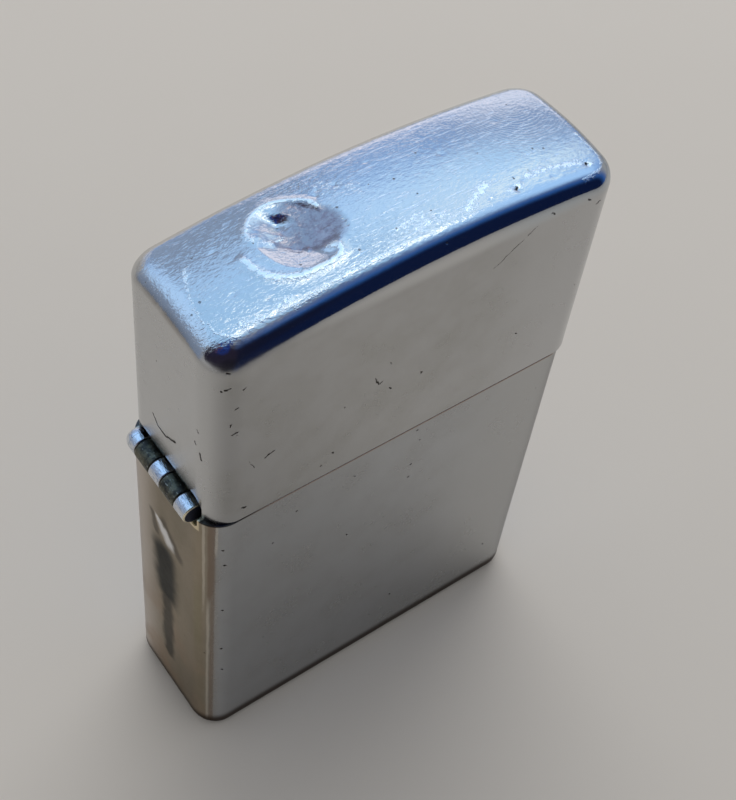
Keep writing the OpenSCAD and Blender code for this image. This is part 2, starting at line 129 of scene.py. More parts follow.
# Mesh building
def ring_faces(rows, columns, closed=False):
    """Quads between neighbouring rings of points, each ring closed on itself"""
    last = rows if closed else rows - 1
    i, k = np.meshgrid(np.arange(last), np.arange(columns), indexing="ij")
    after, beside = (i + 1) % rows, (k + 1) % columns
    quads = [i * columns + k, i * columns + beside, after * columns + beside, after * columns + k]
    return np.stack(quads, -1).reshape(-1, 4).tolist()


def grid_faces(nx, ny, first):
    i, k = np.meshgrid(np.arange(nx - 1), np.arange(ny - 1), indexing="ij")
    a = first + i * ny + k
    return np.stack([a, a + ny, a + ny + 1, a + 1], -1).reshape(-1, 4).tolist()


def shade(mesh, sharp_deg):
    """Smooth shading that keeps only real edges sharp"""
    mesh.shade_smooth()
    mesh.set_sharp_from_angle(angle=math.radians(sharp_deg))


def settle(mesh, sharp_deg):
    """Joins points that meet and turns every face outwards"""
    work = bmesh.new()
    work.from_mesh(mesh)
    bmesh.ops.remove_doubles(work, verts=work.verts, dist=WELD_MM * MM)
    bmesh.ops.recalc_face_normals(work, faces=work.faces)
    work.to_mesh(mesh)
    work.free()
    shade(mesh, sharp_deg)


def link_object(name, data):
    made = bpy.data.objects.new(name, data)
    bpy.context.scene.collection.objects.link(made)
    return made


def mesh_object(name, points, faces, sharp_deg=SHARP_DEG):
    mesh = bpy.data.meshes.new(name)
    mesh.from_pydata((np.asarray(points) * MM).tolist(), [], faces)
    settle(mesh, sharp_deg)
    return link_object(name, mesh)


def bevelled(name, work, edges, round_r, segments):
    """Object made from a bmesh, with the given edges rounded"""
    bmesh.ops.bevel(work, geom=edges, offset=round_r * MM, segments=segments, profile=0.5, affect="EDGES")
    mesh = bpy.data.meshes.new(name)
    work.to_mesh(mesh)
    work.free()
    settle(mesh, SHARP_DEG)
    return link_object(name, mesh)


def join_boolean(piece, other, operation, sharp_deg=SHARP_DEG):
    """Cuts the other mesh out of the piece, or adds it, and removes the other object"""
    modifier = piece.modifiers.new("join", "BOOLEAN")
    modifier.object = other
    modifier.operation = operation
    modifier.solver = "EXACT"
    graph = bpy.context.evaluated_depsgraph_get()
    mesh = bpy.data.meshes.new_from_object(piece.evaluated_get(graph))
    piece.modifiers.clear()
    piece.data = mesh
    bpy.data.objects.remove(other)
    shade(mesh, sharp_deg)
    return piece


def place(piece, body, slot, *nodes):
    """Gives a piece its body and the material named by slot, in place of the CAD nodes that it stands for"""
    piece.data.materials.clear()
    piece.data.materials.append(MATERIALS[slot])
    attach(piece, body)
    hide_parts(*nodes)
    return piece


def rounded(points, radius, steps=4):
    """A line with its inner corners turned into arcs"""
    points = [np.array(p, float) for p in points]
    line = [points[0]]
    for before, corner, after in zip(points, points[1:], points[2:]):
        a, b = before - corner, after - corner
        reach = min(radius, 0.45 * np.linalg.norm(a), 0.45 * np.linalg.norm(b))
        start = corner + a / np.linalg.norm(a) * reach
        end = corner + b / np.linalg.norm(b) * reach
        for t in np.linspace(0, 1, steps + 1):
            line.append((1 - t) ** 2 * start + 2 * t * (1 - t) * corner + t * t * end)
    line.append(points[-1])
    return np.array(line)


def round_angles(steps):
    return np.linspace(0, TURN, steps, endpoint=False)


def round_points(r, h, angle, centre, axis="z"):
    """Points at each radius and height about an upright axis, or about one along Y"""
    flat = np.stack([r * np.cos(angle), r * np.sin(angle), h + 0 * angle], -1).reshape(-1, 3)
    return flat[:, [0, 2, 1] if axis == "y" else [0, 1, 2]] + np.asarray(centre)


def turned(name, profile, centre, axis="z", steps=56, closed=False):
    """Surface turned from pairs of radius and height"""
    profile = np.asarray(profile, float)
    points = round_points(profile[:, :1], profile[:, 1:], round_angles(steps), centre, axis)
    return mesh_object(name, points, ring_faces(len(profile), steps, closed))


def wobble(p, length, seed):
    """Smooth field from -1 to 1 that repeats itself only over many lengths"""
    draw = np.random.default_rng(seed)
    total = 0
    for _ in range(WAVES):
        wave = draw.normal(size=3) * 2 * math.pi / length / WAVE_SPREAD
        total = total + np.sin(np.asarray(p) @ wave + draw.uniform(0, 6.28))
    return total / WAVES


def ripples(p, table):
    """Sum of wobbles that never rise above 0, from rows of height, length and seed"""
    return sum(height * (wobble(p, length, seed) - 1) for height, length, seed in table)


def even(low, high, step):
    return np.linspace(low, high, round((high - low) / step) + 1)


class Outline:
    """Points along an outline, each with the direction that it faces"""

    def __init__(self):
        self.points, self.normals = [], []

    def side(self, places, normal):
        self.points.extend(places)
        self.normals.extend([normal] * len(places))

    def bend(self, cx, cy, r, degrees):
        for turn in np.radians(degrees):
            normal = (math.cos(turn), math.sin(turn))
            self.normals.append(normal)
            self.points.append((cx + r * normal[0], cy + r * normal[1]))

    def arrays(self):
        return np.array(self.points), np.array(self.normals)


class Plan:
    """Outline of a box with round upright corners, and the grid of its flat middle"""

    def __init__(self, half_x, half_y, corner, step, mid_x=0.0, cut_y=(), fine=None):
        a, b = half_x - corner, half_y - corner
        self.xs, self.ys = even(-a, a, step), even(-b, b, step)
        if fine:
            low, high, fine_step = fine
            coarse = self.xs[(self.xs < low) | (self.xs > high)]
            self.xs = np.unique(np.round([*coarse, *even(low, high, fine_step)], 6))
            self.ys = even(-b, b, fine_step)
        self.corner = corner
        self.mid_x = mid_x
        plain = np.linspace(0, 90, CORNER_STEPS + 1)[1:-1]
        extra = {90: [], 180: []}
        for y in cut_y:
            turn = math.degrees(math.asin((abs(y) - b) / corner))
            pair = np.array([turn - CUT_DEG, turn + CUT_DEG])
            extra[90 if y > 0 else 180] += list(90 - pair if y > 0 else pair)
        line = Outline()

        def bend(cx, cy, start):
            turns = sorted([*plain, *extra.get(start, [])])
            line.bend(cx, cy, corner, np.array(turns) + start)

        line.side([(x, -half_y) for x in self.xs], (0, -1))
        bend(a, -b, -90)
        line.side([(half_x, y) for y in self.ys], (1, 0))
        bend(a, b, 0)
        line.side([(x, half_y) for x in self.xs[::-1]], (0, 1))
        bend(-a, b, 90)
        line.side([(-half_x, y) for y in self.ys[::-1]], (-1, 0))
        bend(-a, -b, 180)
        self.points, self.normals = line.arrays()

    def filled(self, rings, heights):
        """Points and faces of rings round the outline, and of its flat middle at each of the heights"""
        points, faces = np.concatenate(rings), ring_faces(len(rings), len(self.points))
        flat = np.stack(np.meshgrid(self.xs, self.ys, indexing="ij"), -1).reshape(-1, 2)
        for height in heights:
            faces += grid_faces(len(self.xs), len(self.ys), len(points))
            points = np.concatenate([points, np.c_[flat, height(flat)]])
        return points, faces


def drawn_cap(name, plan, wall, rim, top, edge_r, wall_rows, flip=1, sag=None):
    """Thin cap drawn from sheet: its top, a round edge, walls and a rounded rim, inside and out

    rim and top give heights in the cap's own sense, which flip turns over for a cup.
    edge_r gives how far the round edge reaches in from the wall, and how far down from the top.
    sag is how far the outer wall lies inside its flat, at each outline point and height.
    """
    outline, normal = plan.points, plan.normals
    rim_z, (reach, drop) = rim(outline), edge_r(outline, normal)
    rings = []

    def ring(inset, z, dip=0.0):
        flat = outline - normal * np.reshape(inset + dip, (-1, 1))
        height = z(flat) if callable(z) else z
        rings.append(np.c_[flat, np.broadcast_to(height, len(flat))])

    def surface(q, depth):
        return top(q[:, 0], q[:, 1]) - depth

    def half(inset, across, down_by, depth, order):
        """The cap's top and its round edge, for the outer face or the inner one"""
        stations = []
        for t in np.linspace(1, 0, TOP_RINGS):
            stations.append((inset + across + (plan.corner - inset - across) * t, 0 * across))
        for phi in np.linspace(90, 0, EDGE_RINGS)[1:]:
            turn = math.radians(phi)
            stations.append((inset + across * (1 - math.cos(turn)), down_by * (1 - math.sin(turn))))
        for e, down in stations[::order]:
            ring(e, lambda q, down=down: surface(q, depth) - down)

    inner_reach, inner_drop = (np.maximum(size - wall, INNER_EDGE_R) for size in (reach, drop))
    half(0 * reach, reach, drop, 0.0, 1)
    wall_top = rings[-1][:, 2]
    for t in np.linspace(0, 1, wall_rows + 1)[1:]:
        z = wall_top + (rim_z + RIM_R - wall_top) * t
        fade = np.minimum(1, WALL_FADE * t) * np.minimum(1, WALL_FADE * (1 - t))
        ring(0.0 * z, z, 0.0 if sag is None else fade * sag(np.c_[outline, z]))
    for e, lift in rounded([(0, RIM_R), (0, 0), (wall, 0), (wall, RIM_R)], RIM_R, 3)[1:]:
        ring(e + 0 * rim_z, rim_z + lift)
    inner_top = surface(outline - normal * wall, wall) - inner_drop
    for t in np.linspace(0, 1, 4)[1:-1]:
        ring(wall + 0 * rim_z, rim_z + RIM_R + (inner_top - rim_z - RIM_R) * t)
    half(wall + 0 * reach, inner_reach, inner_drop, wall, -1)
    heights = [lambda q, depth=depth: surface(q, depth) for depth in (0.0, wall)]
    points, faces = plan.filled(rings, heights)
    points[:, 2] *= flip
    points[:, 0] += plan.mid_x
    return mesh_object(name, points, faces)


# Lid
DENT_CORE = (-7.99, -1.16)
DENT_TURN = math.radians(-40)
DENT_SLOPE = 0.37
DENT_HALF_L = 2.85
FRONT_REACH = 1.5
CREASE_BACK = 0.74
HOLLOW = (-0.3, 2.6, 3.7, 2.3)
HOLLOW_DEPTH = 0.15
LIP_H = 0.1
SCOOP = (-1.85, 2.85, 0.45)
SCOOP_REACH = (0.95, 1.4, 0.85)
BACK_REACH = (1.9, 2.7)
FOLD_SOFT = 0.25
LIP_W = (0.42, 0.36)
CREASE_H = 0.02
CREASE_W = 0.3
DENT_SPAN = (-12.0, -2.8)

# Raised lips of the dent's two hollows and the creases of the crown
LOWER_LIP = ((-11.55, 0.3), (-11.3, -0.9), (-10.9, -1.8), (-9.25, -2.95), (-7.7, -3.2), (-6.4, -3.2),
             (-5.3, -2.85), (-5.3, -2.1), (-5.65, -1.85))
UPPER_LIP = ((-10.1, 1.5), (-10.1, 2.35), (-9.0, 3.4), (-7.6, 3.9), (-6.3, 3.55), (-4.85, 2.55), (-4.45, 1.6))
LEFT_CREASE = ((-15.2, 2.1), (-15.9, 0.7), (-16.4, -1.0), (-16.4, -2.8), (-16.0, -4.0), (-15.0, -4.8))
RIGHT_CREASE = ((17.7, -1.6), (17.9, -3.1), (17.9, -4.1), (17.55, -4.9), (16.9, -5.35), (15.3, -5.6))

# Where the plating is rubbed bright, and painted highlights on the dent's lips, the creases, round pits and
# along the front edge: a line, its width and how much of it has gone
RUBBED_AND_GLINTS = (
    (LOWER_LIP, 0.36, 0.95), (LOWER_LIP[1:5], 0.55, 0.75), (UPPER_LIP, 0.28, 0.9), (UPPER_LIP[:4], 0.45, 0.7),
    (LEFT_CREASE, 0.22, 0.75), (RIGHT_CREASE, 0.2, 0.8), (((-9.4, 0.9), (-8.6, 0.7), (-7.9, 0.9)), 0.4, 0.6),
    (((-10.6, -4.9), (-8.1, -4.75), (-6.2, -4.6), (-4.2, -4.7), (-1.0, -4.6)), 0.3, 0.75),
    (((-11.6, -4.3), (-10.4, -4.2)), 0.5, 0.65), (((-0.6, -3.4), (1.3, -3.1)), 0.8, 0.6),
    (((0.6, -3.9), (3.2, -3.9)), 0.6, 0.6), (((9.0, -4.3), (10.0, -4.1)), 0.5, 0.75),
    (((15.8, -4.1), (16.7, -4.6)), 0.45, 0.75), (((-14.4, -4.0), (-12.8, -4.5)), 0.5, 0.65),
    (((-3.0, 2.9), (-1.2, 1.6)), 1.2, 0.5), (((5.0, -4.2), (6.4, -3.4), (7.6, -2.9)), 0.6, 0.72),
    (((11.0, -3.6), (13.4, -3.7), (15.6, -4.1)), 0.45, 0.75))

# Pits and bumps: middle, radius and depth
PITS = (
    (9.5, -4.25, 0.26, 0.16), (9.6, -4.5, 0.16, 0.06), (16.4, -4.45, 0.25, 0.12), (10.5, -3.9, 0.16, 0.05),
    (7.0, -4.3, 0.2, 0.07), (13.0, -4.5, 0.18, 0.05), (4.9, -4.4, 0.18, 0.05), (2.3, -3.6, 0.2, 0.06),
    (-2.2, 2.6, 0.3, 0.05), (1.2, 3.4, 0.22, 0.04), (-12.8, 2.2, 0.3, 0.05), (-13.6, -1.8, 0.26, 0.05),
    (6.4, 1.2, 0.24, 0.03), (12.6, 2.3, 0.3, 0.03), (-11.9, -3.6, 0.2, 0.06),
    (-6.9, -1.0, 0.26, -0.08), (-6.3, 1.2, 0.2, -0.05), (-5.2, -0.4, 0.28, -0.05), (-5.5, 0.6, 0.22, -0.04),
    (-8.8, 0.6, 0.34, -0.08), (-8.0, 1.0, 0.3, -0.06), (-7.5, -0.3, 0.22, -0.03), (-3.6, -0.6, 0.26, 0.06),
    (-3.7, -1.1, 0.2, 0.06), (-4.0, 2.5, 0.24, 0.05), (-3.6, 2.9, 0.2, 0.05))

# Ripples of the sheet: height, length and seed
CROWN_RIPPLES = ((0.022, 9.0, 3), (0.007, 2.6, 4), (0.0015, 0.9, 7))
WALL_RIPPLES = ((0.01, 11.0, 21), (0.003, 3.5, 22))


def smooth_step(t):
    t = np.clip(t, 0, 1)
    return t * t * (3 - 2 * t)


def through(line, steps=10):
    """Smooth curve through the points of a line"""
    p = np.array([line[0], *line, line[-1]], float)
    curve = []
    for a, b, c, d in zip(p, p[1:], p[2:], p[3:]):
        for t in np.linspace(0, 1, steps, endpoint=False):
            bend = (2 * a - 5 * b + 4 * c - d) * t**2 + (3 * b - a - 3 * c + d) * t**3
            curve.append(0.5 * (2 * b + (c - a) * t + bend))
    return np.array([*curve, p[-1]])


def bead(x, y, line, width):
    """1 along a curved line, falling off to both sides"""
    near = np.full(np.shape(x), 1e9)
    for px, py in through(line):
        near = np.minimum(near, (x - px) ** 2 + (y - py) ** 2)
    return np.exp(-near / width**2)


def dent_place(x, y):
    """Place in the dent, along its crease and across it, and how far the crease reaches there"""
    dx, dy = x - DENT_CORE[0], y - DENT_CORE[1]
    p = np.stack([x, y, 0 * x], -1)
    u = dx * math.cos(DENT_TURN) + dy * math.sin(DENT_TURN) + 0.1 * wobble(p, 2.6, 5)
    v = dy * math.cos(DENT_TURN) - dx * math.sin(DENT_TURN) + 0.05 * wobble(p, 2.2, 8)
    return u, v, np.maximum(0, 1 - (u / DENT_HALF_L) ** 2)


def hollow_place(u, v):
    """0 at the middle of the shallow hollow behind the crease, 1 at its rim"""
    return np.hypot((u - HOLLOW[0]) / HOLLOW[2], (v - HOLLOW[1]) / HOLLOW[3])


def scoop_share(u, v):
    """Small gouge in the shallow hollow, steep at its back"""
    behind = v - SCOOP[1]
    side, front, back = SCOOP_REACH
    ramp = np.where(behind < 0, smooth_step(1 + behind / front), smooth_step(1 - behind / back))
    return ramp * np.exp(-(((u - SCOOP[0]) / side) ** 2))


def dent_height(x, y):
    """A blow from the front: a steep hollow and a long shallow one, with raised lips, bumps and pits"""
    u, v, share = dent_place(x, y)
    front, crease, back = FRONT_REACH * share, CREASE_BACK * share, BACK_REACH[0] + BACK_REACH[1] * share
    steep = (v + front) / (front + crease + 0.01)
    shallow = 1 - (v - crease) / (back - crease)
    deep = np.clip((steep + shallow - np.hypot(steep - shallow, FOLD_SOFT)) / 2, 0, 1)
    height = -DENT_SLOPE * (front + crease) * deep
    height = height - HOLLOW_DEPTH * smooth_step((1.05 - hollow_place(u, v)) / 0.4)
    height = height - SCOOP[2] * scoop_share(u, v)
    height = height + LIP_H * bead(x, y, LOWER_LIP, LIP_W[0]) + LIP_H * bead(x, y, UPPER_LIP, LIP_W[1])
    height = height + CREASE_H * bead(x, y, LEFT_CREASE, CREASE_W)
    for cx, cy, r, depth in PITS:
        q = np.hypot(x - cx, y - cy) / r
        height = height - depth * np.exp(-((1.3 * q) ** 2))
    return height


# Share of rubbed plating and of painted highlight at each point
def rub_and_glint_amount(x, y):
    total = 0 * x
    for line, width, share in RUBBED_AND_GLINTS:
        total = np.maximum(total, share * bead(x, y, line, width))
    return total


def dull_amount(x, y):
    """How far the dent's shallow hollow has lost its shine"""
    u, v, share = dent_place(x, y)
    inside = smooth_step((1.08 - hollow_place(u, v)) / 0.3)
    inside = inside * smooth_step((v - CREASE_BACK * share) / 0.3 + 0.5)
    return inside * smooth_step((u + 2.4) / 1.3) * (1 - np.minimum(1, 1.6 * scoop_share(u, v)))


def lid_height(x, y):
    x = x + LID_X
    bow = (x - LID_X - CROWN_X) ** 2 / (2 * CROWN_R) + y**2 / (2 * DOME_R)
    return LID_HI[2] - bow + ripples(np.stack([x, y, 0 * x], -1), CROWN_RIPPLES) + dent_height(x, y)


def lid_edge(outline, normal):
    end = np.where(normal[:, :1] < 0, LEFT_EDGE, RIGHT_EDGE)
    front = FRONT_EDGE_R - FRONT_EDGE_TAPER * outline[:, 0]
    long_side = np.where(normal[:, 1] < 0, front, BACK_EDGE_R)[:, None]
    both = long_side + (end - long_side) * normal[:, :1] ** 2
    return both[:, 0], both[:, 1]


def notch_rise(outline, depth, corner):
    """How far the hinge notch cuts into the rim at each point of the outline"""
    inside = np.minimum(outline[:, 1] - NOTCH_Y[0], NOTCH_Y[1] - outline[:, 1])
    short = corner - np.clip(inside, 0, corner)
    rise = depth - corner + np.sqrt(np.maximum(0, corner**2 - short**2))
    return np.where((inside > 0) & (outline[:, 0] < 0), rise, 0.0)


def wall_sag(points):
    return -ripples(points, WALL_RIPPLES)


def paint(piece, name, amount):
    """Keeps an amount at each point of a piece, for its material"""
    mesh = piece.data
    place_m = np.empty(3 * len(mesh.vertices))
    mesh.vertices.foreach_get("co", place_m)
    x, y, _ = place_m.reshape(-1, 3).T / MM
    layer = mesh.attributes.new(name, "FLOAT", "POINT")
    layer.data.foreach_set("value", amount(x, y))


def make_lid():
    fine = (DENT_SPAN[0] - LID_X, DENT_SPAN[1] - LID_X, FINE_STEP)
    plan = Plan(HALF_W, HALF_D, CORNER_R, GRID_STEP, LID_X, NOTCH_Y, fine)
    low = SEAM_Z + SEAM_GAP

    def rim(outline):
        return low + notch_rise(outline, LID_NOTCH_TOP - low, LID_NOTCH_R)

    piece = drawn_cap("lid_shell", plan, WALL, rim, lid_height, lid_edge, LID_ROWS, sag=wall_sag)
    paint(piece, "rub_and_glint", rub_and_glint_amount)
    paint(piece, "dull", dull_amount)
    return piece


def make_case():
    plan = Plan(HALF_W, HALF_D, CORNER_R, GRID_STEP, 0.0, NOTCH_Y)

    def rim(outline):
        return notch_rise(outline, SEAM_Z - CASE_NOTCH_FLOOR, CASE_NOTCH_R) - SEAM_Z

    def base(x, y):
        inside = ((half - FOOT_INSET - np.abs(v)) / FOOT_SLOPE for half, v in ((HALF_W, x), (HALF_D, y)))
        return -FOOT_DISH * np.prod([smooth_step(share) for share in inside], 0)

    def edge(outline, normal):
        soft = BASE_EDGE_R + 0.5 * normal[:, 0] ** 2
        return soft, soft

    return drawn_cap("case_shell", plan, WALL, rim, base, edge, CASE_ROWS, flip=-1, sag=wall_sag)


# Hinge
KNUCKLES = 5
LID_KNUCKLE_L = 2.15
CASE_KNUCKLE_L = (BARREL_L - 2 * LID_KNUCKLE_L) / 3
KNUCKLE_SIDE = 0.04
BORE_R = 0.5
PIN_R = 0.49
DOME_L = 0.85
CAP_L = 0.5
ROLL_EDGE_R = 0.13
LEAF_T = 0.45
LEAF_GAP = 0.15
NECK = (0.4, 0.6)
STRAP = (0.38, 0.88)
WEB_EDGE_R = 0.05


def knuckle_span(i):
    """Both ends of a knuckle along Y, the outermost ones flush with the pin"""
    mid = HINGE[1] + (i - 2) * (CASE_KNUCKLE_L + LID_KNUCKLE_L) / 2
    half = (LID_KNUCKLE_L if i % 2 else CASE_KNUCKLE_L) / 2
    low = mid - half + (0 if i == 0 else KNUCKLE_SIDE)
    high = mid + half - (0 if i == KNUCKLES - 1 else KNUCKLE_SIDE)
    return low, high


def knuckle(name, i):
    """One rolled knuckle: the first closed at its front, the last hammered round at its back"""
    low, high = knuckle_span(i)
    mid = (low + high) / 2
    start = [(BARREL_R, low), (BARREL_R, mid)]
    start = [(BORE_R, mid), (BORE_R, low), *start] if i else [(0, low), *start]
    if i == KNUCKLES - 1:
        turn = np.linspace(0, math.pi / 2, 12)
        end = [*np.c_[BORE_R + (BARREL_R - BORE_R) * np.cos(turn), high - DOME_L * (1 - np.sin(turn))]]
        end.append((BORE_R, mid + 0.01))
    else:
        end = [(BARREL_R, mid), (BARREL_R, high), (BORE_R, high), (BORE_R, mid + 0.01)]
        end = [*rounded(end, ROLL_EDGE_R, 6)[1:]]
    if i == 0:
        end[-1:] = [(BORE_R, low + CAP_L), (0, low + CAP_L)]
    line = [*rounded(start, ROLL_EDGE_R, 6), *end]
    return turned(name, line, (HINGE[0], 0, HINGE[2]), "y", 64, closed=i > 0)


def slab(name, low, high, round_r=0.08):
    """Flat plate with softened edges"""
    work = bmesh.new()
    bmesh.ops.create_cube(work, size=1)
    for v in work.verts:
        v.co = [(low[k] if v.co[k] < 0 else high[k]) * MM for k in range(3)]
    return bevelled(name, work, work.edges[:], round_r, 3)


def make_hinge(name, node, first, up):
    """Leaf with its rolled knuckles, fused where the sheet runs into the roll"""
    low, high = box_mm(node)
    leaf_x = high[0] - LEAF_T
    near = HINGE[2] + up * (BARREL_R + LEAF_GAP)
    far = high[2] if up > 0 else low[2]
    leaf_y = (max(low[1], -HALF_D + CORNER_R), min(high[1], HALF_D - CORNER_R))
    z = sorted([near, far])
    piece = slab(name, (leaf_x, leaf_y[0], z[0]), (high[0], leaf_y[1], z[1]))
    tail = sorted([HINGE[2] + up * NECK[0], near + up * NECK[1]])
    web = sorted([HINGE[2] + up * STRAP[0], HINGE[2] + up * STRAP[1]])
    for i in range(first, KNUCKLES, 2):
        y0, y1 = max(leaf_y[0], knuckle_span(i)[0]), min(leaf_y[1], knuckle_span(i)[1])
        neck = slab("neck", (leaf_x, y0, tail[0]), (high[0], y1, tail[1]), WEB_EDGE_R)
        web_x = (HINGE[0] + BORE_R + 0.06, high[0] - 0.05)
        strap = slab("strap", (web_x[0], y0, web[0]), (web_x[1], y1, web[1]), WEB_EDGE_R)
        for part in (neck, strap, knuckle("roll", i)):
            join_boolean(piece, part, "UNION")
    return piece


def make_pin():
    low, high = PIN_LO[1] + CAP_L + 0.02, PIN_HI[1] - 0.02
    line = rounded([(0, low), (PIN_R, low), (PIN_R, high), (0, high)], 0.03)
    return turned("hinge_pin_wire", line, (HINGE[0], 0, HINGE[2]), "y", 32)


# Insert
TANK_LO, TANK_HI = box_mm("insert_tank")
CHIMNEY_LO, CHIMNEY_HI = box_mm("chimney")
WICK_LO, WICK_HI = box_mm("wick")
SHEET = 0.5
TANK_TOP = CHIMNEY_LO[2]
TANK_CORNER = 1.8
TANK_EDGE_R = 0.7
TANK_X = (TANK_LO[0] + TANK_HI[0]) / 2
TUBE_LO, TUBE_HI = box_mm("flint_tube")
TUBE_R = (TUBE_HI[0] - TUBE_LO[0]) / 2
WICK_X = CHIMNEY_LO[0] + 7.4
WICK_R = 1.5
WICK_LAY = TURN / 7.5
EAR_Y = 1.95
EAR_HEAD_R = 1.3
CAM_SLOT = 2.2


def rod(name, r, centre, low, high, axis="z", steps=48):
    line = [(0, low), (r, low), (r, high), (0, high)]
    return turned(name, line, centre, axis, steps)


def make_tank():
    half = (TANK_HI - TANK_LO) / 2
    plan = Plan(half[0], half[1], TANK_CORNER, 0.5, TANK_X)
    edge = np.full(len(plan.points), TANK_EDGE_R)
    piece = drawn_cap(
        "tank_shell", plan, SHEET, lambda p: np.full(len(p), TANK_LO[2]), lambda x, y: TANK_TOP + 0 * x,
        lambda p, n: (edge, edge), 24)
    low, high = TANK_TOP - 2, TANK_TOP + 2
    wick, tube, rivet = (WICK_R + 0.15, WICK_X), (TUBE_R + 0.03, WHEEL[0]), (0.63, CAM[0] + 5.9)
    for r, x in (wick, tube, rivet):
        join_boolean(piece, rod("hole", r, (x, 0, 0), low, high), "DIFFERENCE")
    slot = slab("slot", (CAM[0] - CAM_SLOT, -EAR_Y, low), (CAM[0] + CAM_SLOT, EAR_Y, high))
    join_boolean(piece, slot, "DIFFERENCE")
    for s in (-1, 1):
        join_boolean(piece, cam_ear(s * (EAR_Y + SHEET / 2)), "UNION")
    return piece


def cam_ear(mid_y):
    """Upright ear with a round head and a hole for the cam's rivet"""
    r, low = EAR_HEAD_R, TANK_TOP - SHEET + 0.05
    head = [(CAM[0] + r * math.cos(a), CAM[2] + r * math.sin(a)) for a in np.linspace(0, math.pi, 25)]
    shape = [*head, (CAM[0] - r, low), (CAM[0] + r, low)]
    piece = sheet_piece("ear", shape, mid_y - SHEET / 2, mid_y + SHEET / 2)
    return join_boolean(piece, rod("hole", 0.58, (CAM[0], mid_y, CAM[2]), -2, 2, "y", 32), "DIFFERENCE")


def sheet_piece(name, shape, y0, y1):
    """Flat outline in X and Z, as thick as y0 to y1, with softened edges"""
    work = bmesh.new()
    face = work.faces.new([work.verts.new((x * MM, y0 * MM, z * MM)) for x, z in shape])
    grown = bmesh.ops.extrude_face_region(work, geom=[face])
    for v in grown["geom"]:
        if isinstance(v, bmesh.types.BMVert):
            v.co.y = y1 * MM
    bmesh.ops.recalc_face_normals(work, faces=work.faces)
    rims = [e for e in work.edges if abs(e.verts[0].co.y - e.verts[1].co.y) < 1e-7]
    return bevelled(name, work, rims, 0.07, 2)


# Chimney
EAR_R = 2.2
CHIMNEY_R = 2.0
WIND_HOLE_R = 1.2
WIND_HOLE_TOP = 2.2
WIND_HOLE_PITCH = (4.1, 3.7)
AXLE_HOLE_R = 0.78
SCREEN_END = WHEEL[0] - 3.5
CHIMNEY_SOFT = 0.12


def chimney_top(x):
    """Height of the chimney's edge: the wind screen, then the ears that carry the wheel"""
    ear = np.sqrt(np.maximum(0, EAR_R**2 - np.maximum(0, x - WHEEL[0]) ** 2))
    return np.where(x <= SCREEN_END, CHIMNEY_HI[2], WHEEL[2] + ear)


def make_chimney():
    x0, y0 = CHIMNEY_LO[0], CHIMNEY_HI[1]
    straight = np.concatenate([
        np.linspace(x0 + CHIMNEY_R, SCREEN_END - 0.02, 26), [SCREEN_END + 0.02],
        np.linspace(SCREEN_END + 0.4, WHEEL[0], 9), WHEEL[0] + EAR_R * np.sin(np.linspace(0.1, 1.57, 14))])
    line = Outline()
    line.side([(x, y0) for x in straight[::-1]], (0, 1))
    for start, cy in ((90, y0 - CHIMNEY_R), (180, CHIMNEY_R - y0)):
        line.bend(x0 + CHIMNEY_R, cy, CHIMNEY_R, np.linspace(start, start + 90, 14))
    line.side([(x, -y0) for x in straight], (0, -1))
    outline, normal = line.arrays()
    crest = np.maximum(chimney_top(outline[:, 0]), WHEEL[2] - 0.5)
    base = CHIMNEY_LO[2] + 0 * crest
    soft = CHIMNEY_SOFT
    section = [
        (0, base + soft), (0, crest - soft), (soft, crest), (SHEET - soft, crest), (SHEET, crest - soft),
        (SHEET, base + soft), (SHEET - soft, base), (soft, base)]
    rings = np.stack([np.c_[outline - normal * inset, z] for inset, z in section], 1)
    columns, n = rings.shape[:2]
    faces = [*ring_faces(columns, n), list(range(n)), list(range((columns - 1) * n, columns * n))]
    piece = mesh_object("chimney_wall", rings.reshape(-1, 3), faces)
    mid_x = (x0 + SCREEN_END) / 2
    mid_z = CHIMNEY_HI[2] - WIND_HOLE_TOP - WIND_HOLE_PITCH[1] - WIND_HOLE_R
    holes = [(AXLE_HOLE_R, WHEEL, 32)]
    for row in (1, 0, -1):
        for k in ((0.5, -0.5) if row == 0 else (1, 0, -1)):
            place_mm = (mid_x + k * WIND_HOLE_PITCH[0], 0, mid_z + row * WIND_HOLE_PITCH[1])
            holes.append((WIND_HOLE_R, place_mm, 40))
    for r, centre, steps in holes[::-1]:
        join_boolean(piece, rod("hole", r, centre, -9, 9, "y", steps), "DIFFERENCE")
    return piece


# Wick, packing and felt
PACKS = 5


def wick_at(z):
    """The wick's middle: straight in the flame, swaying round the packing below"""
    first, second = (sum(box_mm(f"packing_{i}"))[2] / 2 for i in (1, 2))
    plate = TANK_TOP - SHEET
    fade = np.clip((plate - z) / (plate - first), 0, 1)
    return WICK_X + 1.8 * fade * np.cos(math.pi * (z - first) / (first - second))


